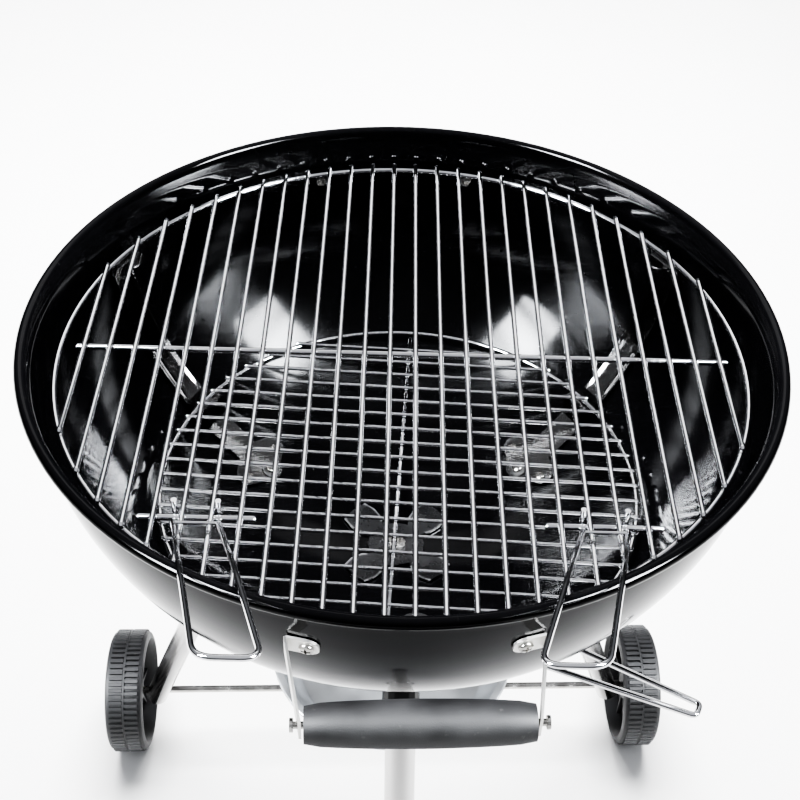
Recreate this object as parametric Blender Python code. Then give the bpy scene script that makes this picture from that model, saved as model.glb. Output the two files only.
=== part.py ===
"""Kettle charcoal grill on three legs, lid off: bowl, two wire grates, ash vent, ash dish and wheels.

Metres, +Z up. The origin is on the ground under the bowl's centre, the wheels are at +Y.
"""

import math

import bmesh
import bpy
from mathutils import Matrix, Vector

# Bowl
RIM_Z = 0.738  # height of the rolled rim's centre
RIM_R = 0.2805
BEAD_R = 0.0045
BOWL_R = 0.276  # outer half width of the half ellipse
BOWL_DEPTH = 0.246
BOWL_TOP_Z = RIM_Z - 0.004
WALL = 0.002
GAP = 0.0003  # between touching pieces
HOLE_GAP = 0.0004  # round a screw or bolt
LINING_GAP = 0.0014  # between the bowl's facets and what lies along them
BOWL_STEPS = 48
ARC_STEPS = 13

# Ash vent
VENT_HOLES = 4
VENT_HOLE = (0.036, 0.0135, 0.010)  # centre radius, radial and sideways half size
BLADE = (0.0405, 0.0205, 0.0150)
BLADE_THICK = 0.0014
SPINDLE_R = 0.004
SPINDLE_HOLE_R = SPINDLE_R + 0.0005
HUB_DISC_R = 0.0245  # the sweeper's middle, where its blades meet
HUB_NUT_R = 0.0085
HUB_NUT_T = 0.006
LEVER_ANGLE = math.radians(-27.5)
LEVER_Z = RIM_Z - 0.309
LEVER_WIRE_R = 0.0028
LEVER_REACH = 0.285
LEVER_HALF = 0.026  # half spacing of the two rods at the spindle
LEVER_TAPER = math.radians(3.9)
LEVER_DROP = 0.0085  # from the rods down to their hooked ends
YOKE = (0.0065, 0.0030)  # half width and thickness of the plate across the rods

# Inner support straps, leg sockets and legs
LEG_ANGLES = {"right": math.radians(30), "left": math.radians(150), "front": math.radians(270)}
STRAP_T = 0.0015
STRAP_HALF = 0.012
TAB_R = 0.2460
LEDGE_R = 0.1830
BOLT_R = 0.0022
BOLT_HEAD_R = 0.0046
WASHER_R = 0.0080
WASHER_T = 0.0012
WASHER_SPACE = 0.0015  # that the washer takes under the middle bolt's head
BOLT_SIDE = (0.1385, 0.0215)  # distance out and sideways of the two outer bolts
BOLT_MID = (0.1300, 0.0)
LEG_TOP_R = 0.133
LEG_FOOT_R = 0.3033  # at the height of the axle
LEG_R = 0.0125
LEG_WALL = 0.0015
SLEEVE_R = 0.0150
SLEEVE_LENGTH = 0.055
SLEEVE_BLIND = 0.017
SOCKET_SKIN = (0.0004, 0.0026)  # inner and outer face of its plate, out from the bowl
FOOT_WALL = 0.004
FOOT_SKIRT = 0.020

# The straps' bolted plate: distance out and half width of each row
PLATE_OUTLINE = (
    (LEDGE_R, STRAP_HALF),
    (0.166, STRAP_HALF),
    (0.152, STRAP_HALF),
    (0.1465, 0.0255),
    (0.1425, 0.0298),
    (0.1375, 0.0305),
    (0.1325, 0.0285),
    (0.1295, 0.0225),
    (0.1255, 0.0120),
    (0.1215, 0.0085),
    (0.1195, 0.0045),
)
STRAP_ACROSS = (-1.0, -0.35, 0.35, 1.0)

# Grates
GRATE_Z = RIM_Z - 0.030
GRATE_R = 0.2615
GRATE_TURN = math.radians(-2.3)
GRATE_SHIFT_Y = 0.002
GRATE_BARS = 26
GRATE_PITCH = 0.0194
GRATE_WIRE_R = 0.0020
GRATE_RING_R = 0.0025
WELD = 0.0008  # how far crossing wires sink into each other
COAL_Z = RIM_Z - 0.1585
COAL_R = 0.1955
COAL_TURN = math.radians(-5.0)
COAL_SHIFT_Y = -0.009
COAL_BARS = 20
COAL_PITCH = 0.0176
COAL_WIRE_R = 0.0017
COAL_RING_R = 0.0022

# Folding wire handles of the cooking grate, in the grate's own frame
BAIL_X = 0.1365
BAIL_Y = -0.1745
BAIL_ROD_HALF = 0.040
BAIL_WIRE_R = 0.0020
BAIL_HALF = 0.0147
BAIL_TIP_HALF = 0.0188
BAIL_LEAN = 0.268  # sideways travel towards the middle for each metre outwards
BAIL_REACH = 0.163
BAIL_CROSS = 0.012  # the joining wire's distance in front of the hinge
BAIL_BEND = 0.008  # from where the arm passes over the rim out to its slight bend
BAIL_TIP_RISE = 0.0665  # of the tip above the hinge

# Bowl handles
HANDLE_ANGLE = math.radians(14.3)
HANDLE_Z = RIM_Z - 0.040
HANDLE_STRAP_T = 0.0018
HANDLE_STRAP_HALF = 0.008
HANDLE_BEND = 0.0148
HANDLE_END = 0.0085
GRIP_OUT = 0.058  # from the bowl's side to the grip's centre
GRIP_R = 0.0145
GRIP_HALF = 0.0685
GRIP_MID = 0.008  # from the reach of a strap back to the grip's centre
SCREW_HEAD_R = 0.0050
SCREW_HEAD_T = 0.0030
SCREW_LENGTH = 0.0075

# Wheels
WHEEL_R = 0.070
WHEEL_WIDTH = 0.042
WHEEL_INNER_X = 0.2729
AXLE_R = 0.004
AXLE_HALF = 0.3224
HUB_R = 0.017
HUB_RECESS = 0.0105  # of the hub's inner face, where the leg ends
AXLE_CAP_GAP = 0.001
AXLE_CAP_R = 0.0095
AXLE_CAP_T = 0.0045

# Ash dish and its wire holder
DISH_Z = RIM_Z - 0.390
DISH_R = 0.1135
DISH_BASE_R = 0.088
DISH_DEPTH = 0.026
DISH_T = 0.0015
HOLDER_RING_R = 0.0960
HOLDER_WIRE_R = 0.0020


def clear_scene():
    for obj in list(bpy.data.objects):
        bpy.data.objects.remove(obj, do_unlink=True)


def material(name, colour, metallic, roughness):
    mat = bpy.data.materials.get(name)
    if mat:
        return mat
    mat = bpy.data.materials.new(name)
    mat.use_nodes = True
    shader = mat.node_tree.nodes["Principled BSDF"]
    shader.inputs["Base Color"].default_value = (*colour, 1.0)
    shader.inputs["Metallic"].default_value = metallic
    shader.inputs["Roughness"].default_value = roughness
    mat.diffuse_color = (*colour, 1.0)
    return mat


def enamel():
    return material("black_enamel", (0.008, 0.008, 0.009), 0.0, 0.08)


def chrome():
    return material("chrome_wire", (0.75, 0.76, 0.78), 1.0, 0.15)


def steel():
    return material("satin_steel", (0.62, 0.61, 0.59), 1.0, 0.30)


def zinc():
    return material("zinc_bolt", (0.70, 0.68, 0.64), 1.0, 0.25)


def dark_steel():
    return material("dark_steel", (0.10, 0.10, 0.11), 1.0, 0.30)


def aluminium():
    return material("aluminium", (0.56, 0.57, 0.58), 1.0, 0.40)


def plastic():
    return material("black_plastic", (0.02, 0.02, 0.02), 0.0, 0.45)


def finish(name, bm, mat):
    """Turns a bmesh into an object with outward faces and smooth round sides."""
    bmesh.ops.remove_doubles(bm, verts=bm.verts, dist=1e-6)
    bmesh.ops.recalc_face_normals(bm, faces=bm.faces)
    mesh = bpy.data.meshes.new(name)
    bm.to_mesh(mesh)
    bm.free()
    return add_object(name, mesh, mat)


def add_object(name, mesh, mat):
    mesh.materials.clear()
    mesh.materials.append(mat)
    mesh.shade_smooth()
    mesh.set_sharp_from_angle(angle=math.radians(35))
    obj = bpy.data.objects.new(name, mesh)
    bpy.context.scene.collection.objects.link(obj)
    return obj


def as_helper(obj):
    obj.hide_render = True
    obj.display_type = "WIRE"
    return obj


def boolean(obj, other, operation):
    mod = obj.modifiers.new(operation.lower(), "BOOLEAN")
    mod.operation = operation
    mod.object = as_helper(other)
    return obj


def move(obj, location=(0, 0, 0), turn=0.0):
    obj.location = location
    obj.rotation_euler = (0, 0, turn)
    return obj


def add_revolved(bm, profile, steps):
    """Spins a closed outline of (radius, height) points round Z."""
    verts = [bm.verts.new((r, 0.0, z)) for r, z in profile]
    edges = [bm.edges.new((a, b)) for a, b in zip(verts, verts[1:] + verts[:1])]
    bmesh.ops.spin(
        bm,
        geom=verts + edges,
        cent=(0, 0, 0),
        axis=(0, 0, 1),
        angle=math.tau,
        steps=steps,
        use_merge=True,
    )


def revolved(name, profile, steps, mat):
    bm = bmesh.new()
    add_revolved(bm, profile, steps)
    return finish(name, bm, mat)


def add_cylinder(bm, start, end, radius, sides):
    """A capped cylinder between two points."""
    start, end = Vector(start), Vector(end)
    axis = end - start
    turn = axis.to_track_quat("Z", "Y").to_matrix().to_4x4()
    bmesh.ops.create_cone(
        bm,
        cap_ends=True,
        segments=sides,
        radius1=radius,
        radius2=radius,
        depth=axis.length,
        matrix=Matrix.Translation((start + end) / 2) @ turn,
    )


def add_prism(bm, outline, low, high):
    """A flat outline of (x, y) points raised from low to high."""
    face = bm.faces.new([bm.verts.new((x, y, low)) for x, y in outline])
    raised = bmesh.ops.extrude_face_region(bm, geom=[face])
    top = [g for g in raised["geom"] if isinstance(g, bmesh.types.BMVert)]
    bmesh.ops.translate(bm, vec=(0, 0, high - low), verts=top)


def add_sheet(bm, front, back):
    """Closes two matching grids of points into one solid sheet."""
    rows, cols = len(front), len(front[0])
    near = [[bm.verts.new(p) for p in row] for row in front]
    far = [[bm.verts.new(p) for p in row] for row in back]
    for i in range(rows - 1):
        for j in range(cols - 1):
            bm.faces.new((near[i][j], near[i][j + 1], near[i + 1][j + 1], near[i + 1][j]))
            bm.faces.new((far[i][j], far[i + 1][j], far[i + 1][j + 1], far[i][j + 1]))
    border = [(i, 0) for i in range(rows)] + [(rows - 1, j) for j in range(1, cols)]
    border += [(i, cols - 1) for i in range(rows - 2, -1, -1)] + [(0, j) for j in range(cols - 2, 0, -1)]
    for (i, j), (k, m) in zip(border, border[1:] + border[:1]):
        bm.faces.new((near[i][j], near[k][m], far[k][m], far[i][j]))


def rounded(points, radius, steps=3):
    """The path with each inner corner replaced by a short arc."""
    path = [Vector(points[0])]
    for before, corner, after in zip(points, points[1:], points[2:]):
        before, corner, after = Vector(before), Vector(corner), Vector(after)
        back, ahead = before - corner, after - corner
        cut = min(radius, 0.45 * back.length, 0.45 * ahead.length)
        start = corner + back.normalized() * cut
        end = corner + ahead.normalized() * cut
        for k in range(steps + 1):
            t = k / steps
            path.append(start * (1 - t) ** 2 + corner * 2 * t * (1 - t) + end * t * t)
    path.append(Vector(points[-1]))
    return path


def circle(radius, z, steps, centre=(0.0, 0.0)):
    angles = [math.tau * k / steps for k in range(steps)]
    return [Vector((centre[0] + radius * math.cos(a), centre[1] + radius * math.sin(a), z)) for a in angles]


def wires(name, paths, radius, mat, sides=6):
    """Round wires along open paths, or closed ones given as (points, True)."""
    curve = bpy.data.curves.new(name, "CURVE")
    curve.dimensions = "3D"
    curve.bevel_depth = radius
    curve.bevel_resolution = sides // 2 - 2
    curve.use_fill_caps = True
    for path in paths:
        points, cyclic = path if isinstance(path, tuple) else (path, False)
        spline = curve.splines.new("POLY")
        spline.points.add(len(points) - 1)
        for slot, point in zip(spline.points, points):
            slot.co = (*point, 1.0)
        spline.use_cyclic_u = cyclic
    holder = bpy.data.objects.new(name + "_path", curve)
    mesh = bpy.data.meshes.new_from_object(holder)
    bpy.data.objects.remove(holder, do_unlink=True)
    mesh.name = name
    bm = bmesh.new()
    bm.from_mesh(mesh)
    return finish(name, bm, mat)


def bowl_z(radius, offset):
    """Height of the surface that lies offset outside the bowl's outer face."""
    return BOWL_TOP_Z - (BOWL_DEPTH + offset) * math.sqrt(1 - (radius / (BOWL_R + offset)) ** 2)


def bowl_radius(z, offset):
    return (BOWL_R + offset) * math.sqrt(1 - ((BOWL_TOP_Z - z) / (BOWL_DEPTH + offset)) ** 2)


def bowl_normal(radius):
    """Outward direction (radial, vertical) of the bowl's face at a radius."""
    depth = BOWL_TOP_Z - bowl_z(radius, 0)
    return Vector((radius / BOWL_R**2, -depth / BOWL_DEPTH**2)).normalized()


def bowl_arc(offset, low_r, steps):
    """Points of the offset half ellipse, from a radius near the bottom up to its edge."""
    a, b = BOWL_R + offset, BOWL_DEPTH + offset
    start = math.asin(low_r / a)
    angles = [start + (math.pi / 2 - start) * k / steps for k in range(steps + 1)]
    return [(a * math.sin(t), BOWL_TOP_Z - b * math.cos(t)) for t in angles]


def petals(bm, size, count, low, high, first=math.pi / 4, sides=12):
    centre, along, across = size
    for k in range(count):
        turn = first + math.tau * k / count
        outline = []
        for n in range(sides):
            t = math.tau * n / sides
            x, y = centre + along * math.cos(t), across * math.sin(t)
            point = Vector((x, y))
            point.rotate(Matrix.Rotation(turn, 2))
            outline.append(tuple(point))
        add_prism(bm, outline, low, high)


def bolt_places(angle):
    """(point on the bowl's outer face, outward direction, is the middle one) of a leg's three bolts."""
    places = []
    for (out, side), middle in (
        (BOLT_MID, True),
        (BOLT_SIDE, False),
        ((BOLT_SIDE[0], -BOLT_SIDE[1]), False),
    ):
        radius = math.hypot(out, side)
        theta = angle + math.atan2(side, out)
        radial = Vector((math.cos(theta), math.sin(theta), 0))
        n = bowl_normal(radius)
        point = radial * radius + Vector((0, 0, bowl_z(radius, 0)))
        places.append((point, radial * n.x + Vector((0, 0, n.y)), middle))
    return places


def add_bolt_holes(bm, angle, inward, outward):
    for point, normal, _ in bolt_places(angle):
        add_cylinder(bm, point - normal * inward, point + normal * outward, BOLT_R + HOLE_GAP, 10)


def handle_screw_places(side):
    """Points on the bowl's outer face and outward directions of one handle's two screws."""
    radius = bowl_radius(HANDLE_Z, 0)
    n = bowl_normal(radius)
    places = []
    for sign in (-1, 1):
        theta = side * math.pi / 2 + sign * HANDLE_ANGLE
        radial = Vector((math.cos(theta), math.sin(theta), 0))
        places.append((radial * radius + Vector((0, 0, HANDLE_Z)), radial * n.x + Vector((0, 0, n.y))))
    return places


def make_bowl():
    inner = bowl_arc(-WALL, SPINDLE_HOLE_R, ARC_STEPS)
    outer = bowl_arc(0, SPINDLE_HOLE_R, ARC_STEPS)
    outer[-1] = (BOWL_R, BOWL_TOP_Z - 0.002)
    angles = [math.radians(a) for a in range(150, -121, -45)]
    bead = [(RIM_R + BEAD_R * math.cos(a), RIM_Z + BEAD_R * math.sin(a)) for a in angles]
    bowl = revolved("bowl", inner + [(BOWL_R - WALL, RIM_Z)] + bead + outer[::-1], BOWL_STEPS, enamel())
    cuts = bmesh.new()
    petals(cuts, VENT_HOLE, VENT_HOLES, BOWL_TOP_Z - BOWL_DEPTH - 0.01, BOWL_TOP_Z - BOWL_DEPTH + 0.02)
    for angle in LEG_ANGLES.values():
        add_bolt_holes(cuts, angle, 0.008, 0.006)
    for side in (-1, 1):
        for point, normal in handle_screw_places(side):
            add_cylinder(cuts, point - normal * 0.008, point + normal * 0.006, BOLT_R + HOLE_GAP, 10)
    boolean(bowl, finish("bowl_cuts", cuts, enamel()), "DIFFERENCE")


def strap_rows():
    """Rows of (inner point, wall-side point, half width) in the radial plane, from the tab to the plate."""
    near, far = -WALL - LINING_GAP - STRAP_T, -WALL - LINING_GAP
    tab_z = GRATE_Z - GRATE_RING_R - GAP
    ledge_z = COAL_Z - COAL_RING_R - GAP
    rows = []
    for k in range(1, 5):
        swing = math.pi / 2 * k / 4
        r = TAB_R + STRAP_HALF * (1 - math.cos(swing))
        rows.append(((r, tab_z - STRAP_T), (r, tab_z), STRAP_HALF * math.sin(swing)))
    top = bowl_radius(tab_z, near), bowl_radius(tab_z, far)
    rows.append(((top[0] - 0.0012, tab_z - STRAP_T), (top[1] - 0.0012, tab_z), STRAP_HALF))
    for k in range(1, 7):
        z = tab_z - STRAP_T - 0.002 + (ledge_z + 0.004 - tab_z + STRAP_T + 0.002) * k / 6
        rows.append(((bowl_radius(z, near), z), (bowl_radius(z, far), z), STRAP_HALF))
    ledge = bowl_radius(ledge_z, near) - 0.001, bowl_radius(ledge_z, far) - 0.001
    rows.append(((ledge[0], ledge_z), (ledge[1], ledge_z - STRAP_T), STRAP_HALF))
    rows.append(((LEDGE_R, ledge_z), (LEDGE_R + STRAP_T, ledge_z - STRAP_T), STRAP_HALF))
    for r, half in PLATE_OUTLINE:
        back = r + (STRAP_T if r == LEDGE_R else 0.0)
        rows.append(((r, bowl_z(r, near)), (back, bowl_z(back, far)), half))
    return rows


def on_bowl(point, side, offset):
    """The (radius, height) point moved sideways; with an offset it follows the bowl's face."""
    r, z = point
    if offset is not None:
        z = bowl_z(math.hypot(r, side), offset)
    return Vector((r, side, z))


def make_strap(place, angle):
    near, far = -WALL - LINING_GAP - STRAP_T, -WALL - LINING_GAP
    rows = strap_rows()
    plate_from = len(rows) - len(PLATE_OUTLINE)
    front, back = [], []
    for i, (inner, outer, half) in enumerate(rows):
        follow = i >= plate_from
        front.append([on_bowl(inner, half * t, near if follow else None) for t in STRAP_ACROSS])
        back.append([on_bowl(outer, half * t, far if follow else None) for t in STRAP_ACROSS])
    bm = bmesh.new()
    add_sheet(bm, front, back)
    strap = move(finish("support_strap_" + place, bm, steel()), turn=angle)
    cuts = bmesh.new()
    add_bolt_holes(cuts, angle, 0.008, 0.002)
    boolean(strap, finish("strap_cuts_" + place, cuts, steel()), "DIFFERENCE")


def leg_line(angle):
    """Where the leg's centre line meets the bowl, and its direction down to the foot."""
    radial = Vector((math.cos(angle), math.sin(angle), 0))
    top = radial * LEG_TOP_R + Vector((0, 0, bowl_z(LEG_TOP_R, 0)))
    foot = radial * LEG_FOOT_R + Vector((0, 0, WHEEL_R))
    return top, (foot - top).normalized()


def make_socket(place, angle):
    top, down = leg_line(angle)
    near, far = SOCKET_SKIN
    outline = PLATE_OUTLINE[2:]
    front = [[on_bowl((r, 0), half * t, near) for t in STRAP_ACROSS] for r, half in outline]
    back = [[on_bowl((r, 0), half * t, far) for t in STRAP_ACROSS] for r, half in outline]
    bm = bmesh.new()
    add_sheet(bm, front, back)
    bmesh.ops.rotate(bm, cent=(0, 0, 0), matrix=Matrix.Rotation(angle, 3, "Z"), verts=bm.verts)
    socket = finish("leg_socket_" + place, bm, enamel())
    bm = bmesh.new()
    add_cylinder(bm, top - down * 0.012, top + down * SLEEVE_LENGTH, SLEEVE_R, 16)
    sleeve = finish("sleeve_" + place, bm, enamel())
    shape = [(0.0, BOWL_TOP_Z)] + bowl_arc(0.0010, 0.00001, 14)
    cut = revolved("sleeve_top_cut_" + place, shape, 48, enamel())
    boolean(sleeve, cut, "DIFFERENCE")
    boolean(socket, sleeve, "UNION")
    cuts = bmesh.new()
    start = top + down * SLEEVE_BLIND
    add_cylinder(cuts, start, top + down * (SLEEVE_LENGTH + 0.01), LEG_R + GAP, 16)
    add_bolt_holes(cuts, angle, 0.004, 0.0085)
    boolean(socket, finish("socket_cuts_" + place, cuts, enamel()), "DIFFERENCE")


def make_bolts(place, angle):
    for number, (point, normal, middle) in enumerate(bolt_places(angle), start=1):
        seat = WALL + LINING_GAP + STRAP_T + GAP
        lift = WASHER_SPACE if middle else 0.0
        depth = 0.0075 if middle else 0.0045
        turn = (-normal).to_track_quat("Z", "Y").to_matrix().to_4x4()
        frame = Matrix.Translation(point - normal * (seat + lift)) @ turn
        low = -lift - seat - depth
        head = [(0.0, low), (BOLT_R, low), (BOLT_R, 0.0), (BOLT_HEAD_R, 0.0)]
        head += [(BOLT_HEAD_R, 0.0012), (BOLT_HEAD_R * 0.7, 0.0024), (0.0, 0.0028)]
        bolt = revolved(f"leg_bolt_{place}_{number}", head, 8, zinc())
        bolt.matrix_world = frame
        if middle:
            bore = BOLT_R + HOLE_GAP
            ring = [(bore, 0.0), (WASHER_R, 0.0), (WASHER_R, WASHER_T), (bore, WASHER_T)]
            washer = revolved("leg_washer_" + place, ring, 12, zinc())
            washer.matrix_world = Matrix.Translation(point - normal * seat) @ turn


def make_leg(place, angle):
    top, down = leg_line(angle)
    start = top + down * (SLEEVE_BLIND + GAP)
    if place == "front":
        length = (start.z - 0.010) / -down.z
    else:
        length = (start.z - WHEEL_R + 0.014) / -down.z
    inner, outer = LEG_R - LEG_WALL, LEG_R
    tube = revolved("leg_" + place, [(inner, 0), (outer, 0), (outer, length), (inner, length)], 16, steel())
    tube.matrix_world = Matrix.Translation(start) @ down.to_track_quat("Z", "Y").to_matrix().to_4x4()
    if place != "front":
        bm = bmesh.new()
        add_cylinder(bm, (-0.4, axle_y(), WHEEL_R), (0.4, axle_y(), WHEEL_R), AXLE_R + HOLE_GAP, 12)
        boolean(tube, finish("axle_bore_" + place, bm, steel()), "DIFFERENCE")
        return
    end = start + down * length
    sole = (end.z + 0.006) / -down.z
    ring = LEG_R + GAP
    skirt = LEG_R + FOOT_WALL
    cup = [(0.0, sole), (skirt, sole), (skirt, -FOOT_SKIRT), (ring, -FOOT_SKIRT), (ring, GAP), (0.0, GAP)]
    foot = revolved("foot_cap", cup, 16, plastic())
    foot.matrix_world = Matrix.Translation(end) @ down.to_track_quat("Z", "Y").to_matrix().to_4x4()
    bm = bmesh.new()
    x, y = end.x, end.y
    square = [(x - 0.1, y - 0.1), (x + 0.1, y - 0.1), (x + 0.1, y + 0.1), (x - 0.1, y + 0.1)]
    add_prism(bm, square, -0.1, 0.0)
    boolean(foot, finish("ground_cut", bm, plastic()), "DIFFERENCE")


def axle_y():
    return LEG_FOOT_R * math.sin(LEG_ANGLES["right"])


def make_wheels():
    y = axle_y()
    bm = bmesh.new()
    add_cylinder(bm, (-AXLE_HALF, y, WHEEL_R), (AXLE_HALF, y, WHEEL_R), AXLE_R, 12)
    finish("axle", bm, zinc())
    half, web = WHEEL_WIDTH / 2, 0.004
    rim_in = WHEEL_R - 0.013

    def section(recess):
        """From the bore out to the tread, as (radius, distance in from the wheel's face)."""
        hub = [(AXLE_R + HOLE_GAP, recess), (HUB_R, recess), (HUB_R + 0.002, half - web)]
        rim = [(rim_in - 0.002, half - web), (rim_in, 0.006), (rim_in + 0.003, 0.0)]
        return hub + rim + [(WHEEL_R - 0.005, 0.0), (WHEEL_R, 0.006)]

    profile = [(r, x - half) for r, x in section(HUB_RECESS)]
    profile += [(r, half - x) for r, x in reversed(section(0.002))]
    for place, sign in (("left", -1), ("right", 1)):
        centre = sign * (WHEEL_INNER_X + half)
        wheel = revolved("wheel_" + place, profile, 28, plastic())
        wheel.location = (centre, y, WHEEL_R)
        wheel.rotation_euler = (0, sign * math.pi / 2, 0)
        start = WHEEL_INNER_X + WHEEL_WIDTH + AXLE_CAP_GAP
        bore = AXLE_R + 0.0002
        cap = [(bore, 0.0), (AXLE_CAP_R, 0.0), (AXLE_CAP_R, 0.002)]
        cap += [(0.006, AXLE_CAP_T), (bore, AXLE_CAP_T)]
        nut = revolved("axle_cap_" + place, cap, 14, zinc())
        nut.location = (sign * start, y, WHEEL_R)
        nut.rotation_euler = (0, sign * math.pi / 2, 0)


def make_vent():
    bottom = -WALL - LINING_GAP
    inside = bowl_arc(bottom - BLADE_THICK, SPINDLE_R + GAP, 26)
    outside = bowl_arc(bottom, SPINDLE_R + GAP, 26)
    reach = BLADE[0] + BLADE[1] + 0.004
    low = [p for p in outside if p[0] < reach]
    high = [p for p in inside if p[0] < reach]
    blades = revolved("ash_blades", low + high[::-1], 24, dark_steel())
    base = BOWL_TOP_Z - BOWL_DEPTH
    bm = bmesh.new()
    petals(bm, BLADE, VENT_HOLES, base - 0.02, base + 0.03)
    add_cylinder(bm, (0, 0, base - 0.03), (0, 0, base + 0.04), HUB_DISC_R, 16)
    shape = finish("blade_outline", bm, dark_steel())
    boolean(blades, shape, "INTERSECT").modifiers[0].use_self = True
    floor = base + WALL + LINING_GAP + BLADE_THICK + 2 * GAP
    nut = [(SPINDLE_R + GAP, floor), (HUB_NUT_R, floor), (HUB_NUT_R, floor + 0.004)]
    nut += [(HUB_NUT_R - 0.002, floor + HUB_NUT_T), (SPINDLE_R + GAP, floor + HUB_NUT_T)]
    revolved("hub_nut", nut, 12, zinc())
    low, high = LEVER_Z - LEVER_DROP, floor + 0.008
    rod = [(0.0, low), (SPINDLE_R, low), (SPINDLE_R, high - 0.001), (SPINDLE_R - 0.001, high), (0.0, high)]
    revolved("vent_spindle", rod, 12, zinc())
    make_lever()


def make_lever():
    tip = LEVER_REACH
    tip_half = LEVER_HALF - tip * math.tan(LEVER_TAPER)
    drop = LEVER_Z - LEVER_DROP
    side = [(0.0, LEVER_HALF, drop), (0.0, LEVER_HALF, LEVER_Z), (tip, tip_half, LEVER_Z)]
    path = rounded(side + [(x, -y, z) for x, y, z in reversed(side)], 0.005)
    lever = wires("vent_lever", [path], LEVER_WIRE_R, chrome(), sides=8)
    move(lever, turn=LEVER_ANGLE)
    end, half, low = LEVER_HALF + 0.007, YOKE[0], LEVER_Z - 0.0065
    bm = bmesh.new()
    add_prism(bm, [(-half, -end), (half, -end), (half, end), (-half, end)], low, low + YOKE[1])
    yoke = move(finish("lever_yoke", bm, steel()), turn=LEVER_ANGLE)
    cuts = bmesh.new()
    add_cylinder(cuts, (0, 0, low - 0.01), (0, 0, low + 0.01), SPINDLE_R + GAP, 12)
    for y in (-LEVER_HALF, LEVER_HALF):
        add_cylinder(cuts, (0, y, low - 0.01), (0, y, low + 0.01), LEVER_WIRE_R + GAP, 12)
    boolean(yoke, move(finish("yoke_cuts", cuts, steel()), turn=LEVER_ANGLE), "DIFFERENCE")


def chord(radius, offset):
    return math.sqrt(radius * radius - offset * offset)


def make_cooking_grate():
    bar_z = GRATE_RING_R + GRATE_WIRE_R - WELD
    bars = []
    for k in range(GRATE_BARS):
        x = (k - (GRATE_BARS - 1) / 2) * GRATE_PITCH
        y = chord(GRATE_R, x) + 0.003
        bars.append([(x, -y, bar_z), (x, y, bar_z)])
    under = [(circle(GRATE_R, 0, 48), True), [(-0.250, 0, 0), (0.250, 0, 0)]]
    for sign in (-1, 1):
        x = sign * BAIL_X
        under.append([(x - BAIL_ROD_HALF, BAIL_Y, 0), (x + BAIL_ROD_HALF, BAIL_Y, 0)])
    place = (0, GRATE_SHIFT_Y, GRATE_Z)
    grate = move(wires("cooking_grate", under, GRATE_RING_R, chrome()), place, GRATE_TURN)
    over = move(wires("cooking_bars", bars, GRATE_WIRE_R, chrome()), place, GRATE_TURN)
    boolean(grate, over, "UNION")


def bail_origin(sign):
    origin = Vector((sign * BAIL_X, BAIL_Y, 0))
    origin.rotate(Matrix.Rotation(GRATE_TURN, 3, "Z"))
    return origin + Vector((0, GRATE_SHIFT_Y, GRATE_Z))


def bail_plan(sign, side, out):
    """Sideways place of one arm, in the hinge's frame, at a distance in front of the hinge."""
    half = BAIL_HALF + (BAIL_TIP_HALF - BAIL_HALF) * max(out, 0.0) / BAIL_REACH
    return side * half - sign * BAIL_LEAN * max(out - 0.006, 0.0)


def bail_rim_out(sign):
    """How far in front of the hinge the outer arm first reaches the rim."""
    origin, out, reach = bail_origin(sign), 0.0, 0.0
    while reach < RIM_R - BEAD_R / 2:
        out += 0.0005
        arm = Vector((bail_plan(sign, sign, out), -out, 0))
        arm.rotate(Matrix.Rotation(GRATE_TURN, 3, "Z"))
        reach = (origin + arm).to_2d().length
    return out


def make_bail(place, sign):
    """A bent wire handle that hooks under its rod and rests on the rim."""
    hook = GRATE_RING_R + BAIL_WIRE_R + 0.0009
    clear = GRATE_RING_R + 2 * GRATE_WIRE_R - WELD + BAIL_WIRE_R + 0.0012
    rise = RIM_Z + BEAD_R + BAIL_WIRE_R + 0.0006 - GRATE_Z
    bend = bail_rim_out(sign) + BAIL_BEND
    slope = (rise - clear) / (bend - BAIL_BEND - BAIL_CROSS)
    bend_z = clear + slope * (bend - BAIL_CROSS)

    def arm(out, side):
        if out <= bend:
            z = clear + slope * (out - BAIL_CROSS)
        else:
            z = bend_z + (BAIL_TIP_RISE - bend_z) * (out - bend) / (BAIL_REACH - bend)
        return (bail_plan(sign, side, out), -out, z)

    def tail(side):
        x = side * BAIL_HALF
        turns = [math.radians(a) for a in range(0, -181, -30)]
        return [(x, hook, 0.0115)] + [(x, hook * math.cos(a), hook * math.sin(a)) for a in turns]

    corners = [arm(out, -1) for out in (BAIL_CROSS, bend, BAIL_REACH)]
    corners += [arm(out, 1) for out in (BAIL_REACH, bend, BAIL_CROSS)]
    path = tail(-1) + rounded(corners, 0.012) + tail(1)[::-1]
    origin = bail_origin(sign)
    name = "grate_handle_" + place
    bail = move(wires(name, [path], BAIL_WIRE_R, chrome()), origin, GRATE_TURN)
    ends = [Vector(arm(BAIL_CROSS + 0.001, -1)), Vector(arm(BAIL_CROSS + 0.001, 1))]
    cross = move(wires(name + "_cross", [ends], 0.0014, chrome()), origin, GRATE_TURN)
    boolean(bail, cross, "UNION")


def make_charcoal_grate():
    bar_z = COAL_RING_R + COAL_WIRE_R - WELD
    bars = []
    for k in range(COAL_BARS):
        y = (k - (COAL_BARS - 1) / 2) * COAL_PITCH
        x = chord(COAL_R, y) + 0.003
        bars.append([(-x, y, bar_z), (x, y, bar_z)])
    spine = COAL_R - 0.008
    under = [(circle(COAL_R, 0, 40), True), [(0, -spine, 0), (0, spine, 0)]]
    place = (0, COAL_SHIFT_Y, COAL_Z)
    grate = move(wires("charcoal_grate", under, COAL_RING_R, chrome()), place, COAL_TURN)
    over = move(wires("charcoal_bars", bars, COAL_WIRE_R, chrome()), place, COAL_TURN)
    boolean(grate, over, "UNION")


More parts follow.
